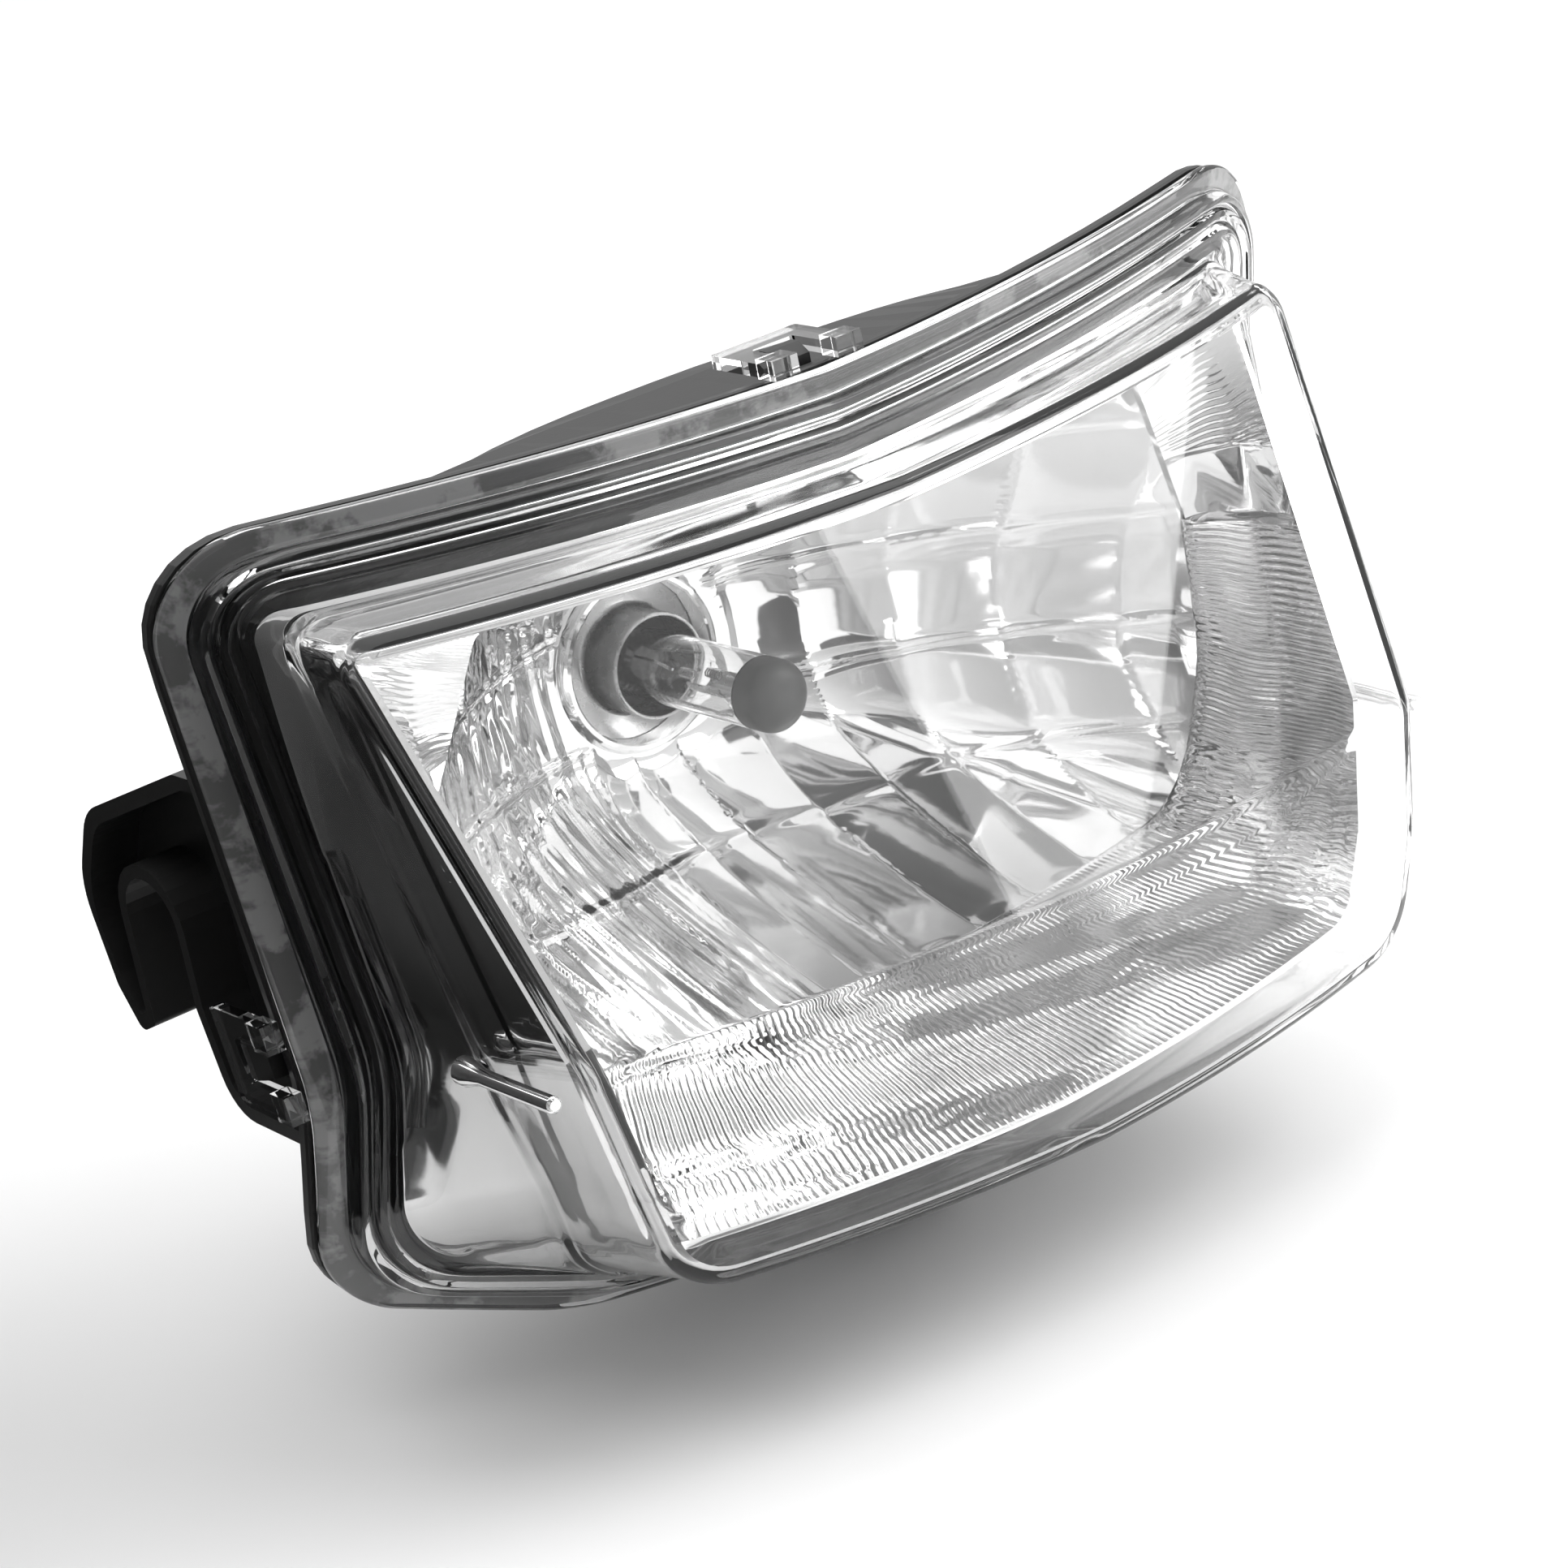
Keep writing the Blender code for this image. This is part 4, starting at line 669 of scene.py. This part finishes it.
def makeBulb():
    # Turned profiles: the tube's nose is a quarter of an ellipse, and the paint's skin follows it
    r, tip, paint = bulbSetup["glassR"], bulbSetup["tipY"], bulbSetup["paint"]
    arc = np.linspace(0, math.pi / 2, 12)
    nose = [(r * math.sin(a), tip + 5.0 * (1 - math.cos(a))) for a in arc]
    skinR = r - 0.4
    glass = [(axisR, tip + 0.5),
             *[(skinR * math.sin(a), tip + 0.5 + 4.6 * (1 - math.cos(a))) for a in arc[1:]],
             (skinR, tip + paint + 0.1), (r, tip + paint + 0.5), (r, 5.3), (r - 0.9, 5.3),
             (r - 0.9, tip + paint + 1.6),
             *[((r - 1.3) * math.sin(a), tip + 1.9 + 3.8 * (1 - math.cos(a))) for a in arc[:0:-1]],
             (axisR, tip + 1.9)]
    adopt(lathe("bulbGlass", glass), "bulb", "clear_glass", finishes["glass"], "bulb_glass")
    cap = [(axisR, tip), *nose[1:], (r, tip + paint), (skinR + 0.05, tip + paint),
           *[((skinR + 0.05) * math.sin(a), tip + 0.42 + 4.6 * (1 - math.cos(a))) for a in arc[:0:-1]],
           (axisR, tip + 0.42)]
    adopt(lathe("bulbTipPaint", cap), "bulb", "grey_paint", finishes["paint"], "bulb_tip_paint")
    s, c = bulbSetup["sleeveR"], bulbSetup["collarR"]
    collar = [(s, -6.6), (s + 0.02, -6.4), (s, 4.9), (s + 0.5, 5.9), (s + 1.2, 6.3), (c - 0.3, 6.3), (c, 6.6),
              (c, 7.2), (c - 0.3, 7.5), (s - 0.8, 7.5), (s - 0.8, -6.8), (s - 0.6, -7.0), (s - 0.2, -7.0)]
    adopt(lathe("bulbCollar", collar), "bulb", "steel", finishes["steel"], "bulb_collar")


makeBulb()
print("bulb made")


bootSetup = {"capY": 29.3, "steps": 160}


def makeBoot():
    # One turned profile: the skirt over the neck, a channel in the cap and a collar round the terminals
    y0 = bootSetup["capY"]
    profile = [(47.9, 22.6), (48.2, 22.3), (50.6, 22.3), (50.9, 22.7), (50.9, y0 + 1.4), (50.6, y0 + 2.2),
               (49.8, y0 + 2.8), (48.8, y0 + 3.0), (42.4, y0 + 3.0), (41.2, y0 + 2.7), (40.2, y0 + 1.9),
               (39.2, y0 + 1.6), (36.8, y0 + 1.6), (35.8, y0 + 1.9), (34.8, y0 + 2.7), (33.6, y0 + 3.0),
               (20.8, y0 + 3.0), (18.8, y0 + 3.4), (17.6, y0 + 4.2), (17.3, y0 + 5.2), (17.2, y0 + 6.2),
               (16.8, y0 + 6.5), (14.6, y0 + 6.5), (14.3, y0 + 6.2), (14.3, y0 - 5.2), (14.6, y0 - 5.5),
               (17.0, y0 - 5.5), (17.3, y0 - 5.2), (17.3, y0 - 1.0), (19.3, y0), (33.9, y0), (47.9, y0)]
    boot = lathe("rearBoot", profile, bootSetup["steps"])
    adopt(boot, "boot", "black_rubber", finishes["rubber"], "rear_boot")


makeBoot()
print("boot made")

# The other pieces keep their CAD shape and get a finish
nodeFinish = {
    "housing": "shell", "lens_clip_top": "clip", "lens_clip_left": "clip",
    "lens_clip_right": "clip", "bulb_holder": "steel", "holder_screw_1": "steel", "holder_screw_2": "steel",
    "holder_screw_3": "steel", "retaining_wire": "steel", "bulb_stem": "glass", "bulb_base": "base",
    "filament_low": "tungsten", "filament_high": "tungsten", "filament_shield": "steel",
    "support_wire_front": "steel", "support_wire_middle": "steel", "support_wire_rear": "steel",
    "terminal_top": "contact", "terminal_left": "contact", "terminal_right": "contact", "vent_cap": "rubber",
}
for nodeName, key in nodeFinish.items():
    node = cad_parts[nodeName]
    node.data.materials.clear()
    node.data.materials.append(finishes[key])
print("kept parts finished:", len(nodeFinish))


stageSetup = {"floorSize": 9.0, "floorShade": 0.88, "lift": 0.0005, "aim": (0, 0, 0.1),
              "cardEdge": ((0.05, -1.5), (0.05, -0.42), (-0.02, -0.31), (-0.17, -0.095), (-0.245, -0.01),
                           (-0.2, 0.1), (-0.1, 0.3), (-0.1, 0.9), (-1.4, 0.9), (-1.4, -1.5)),
              "sideCard": ((-0.26, -0.02), (-0.13, 0.9), 0.3),
              "lights": {"keyLight": ((1.3, -1.1, 1.3), (1.8, 1.8), 34.0),
                         "topLight": ((-0.2, 0.5, 1.8), (3.0, 2.6), 34.0)},
              "sky": ((0.0, (0.06,) * 3), (0.85, (1.0,) * 3))}


def addFloor():
    place = (0, 0, cadBox[0][2] - stageSetup["lift"])
    bpy.ops.mesh.primitive_plane_add(size=stageSetup["floorSize"], location=place)
    floor = bpy.context.object
    floor.name = "floor"
    made = Finish("floorPale")
    made.set(Base_Color=(stageSetup["floorShade"],) * 3 + (1,), Roughness=0.7)
    floor.data.materials.append(made.material)


def addCard(name, corners):
    # A black card that the camera doesn't see gives the lamp's mirrors something dark to show
    mesh = bpy.data.meshes.new(name)
    mesh.from_pydata(corners, [], [range(len(corners))])
    card = bpy.data.objects.new(name, mesh)
    bpy.context.scene.collection.objects.link(card)
    card.visible_camera = False
    mesh.materials.append(finishes["shell"])


def addLight(name, place, size, power):
    data = bpy.data.lights.new(name, "AREA")
    data.shape, data.size, data.size_y, data.energy = "RECTANGLE", size[0], size[1], power
    light = bpy.data.objects.new(name, data)
    light.location = place
    light.rotation_euler = (Vector(stageSetup["aim"]) - Vector(place)).to_track_quat("-Z", "Y").to_euler()
    bpy.context.scene.collection.objects.link(light)


def addSky():
    # A grey that brightens upwards and to the right
    world = bpy.data.worlds.new("studio")
    made = Nodes(world)
    split = made.add("ShaderNodeSeparateXYZ", _0=made.read(made.add("ShaderNodeTexCoord"), "Generated"))
    x, y, z = (made.read(split, k) for k in range(3))
    bright = x * 0.42 + z * 0.3 - y * 0.22 + 0.42
    ramp = made.add("ShaderNodeValToRGB", {"stops": stageSetup["sky"]}, _0=bright)
    feed(made.tree.nodes["Background"].inputs[0], made.read(ramp))
    made.tree.nodes["Background"].inputs[1].default_value = 1.0
    bpy.context.scene.world = world


def addStage():
    addFloor()
    lift = cadBox[0][2] + stageSetup["lift"]
    addCard("floorCard", [(x, y, lift) for x, y in stageSetup["cardEdge"]])
    near, far, height = stageSetup["sideCard"]
    addCard("sideCard", [(*near, lift), (*far, lift), (*far, height), (*near, height)])
    for name, (place, size, power) in stageSetup["lights"].items():
        addLight(name, place, size, power)
    addSky()


addStage()
print("stage set")
bpy.context.scene.view_settings.view_transform = "Standard"
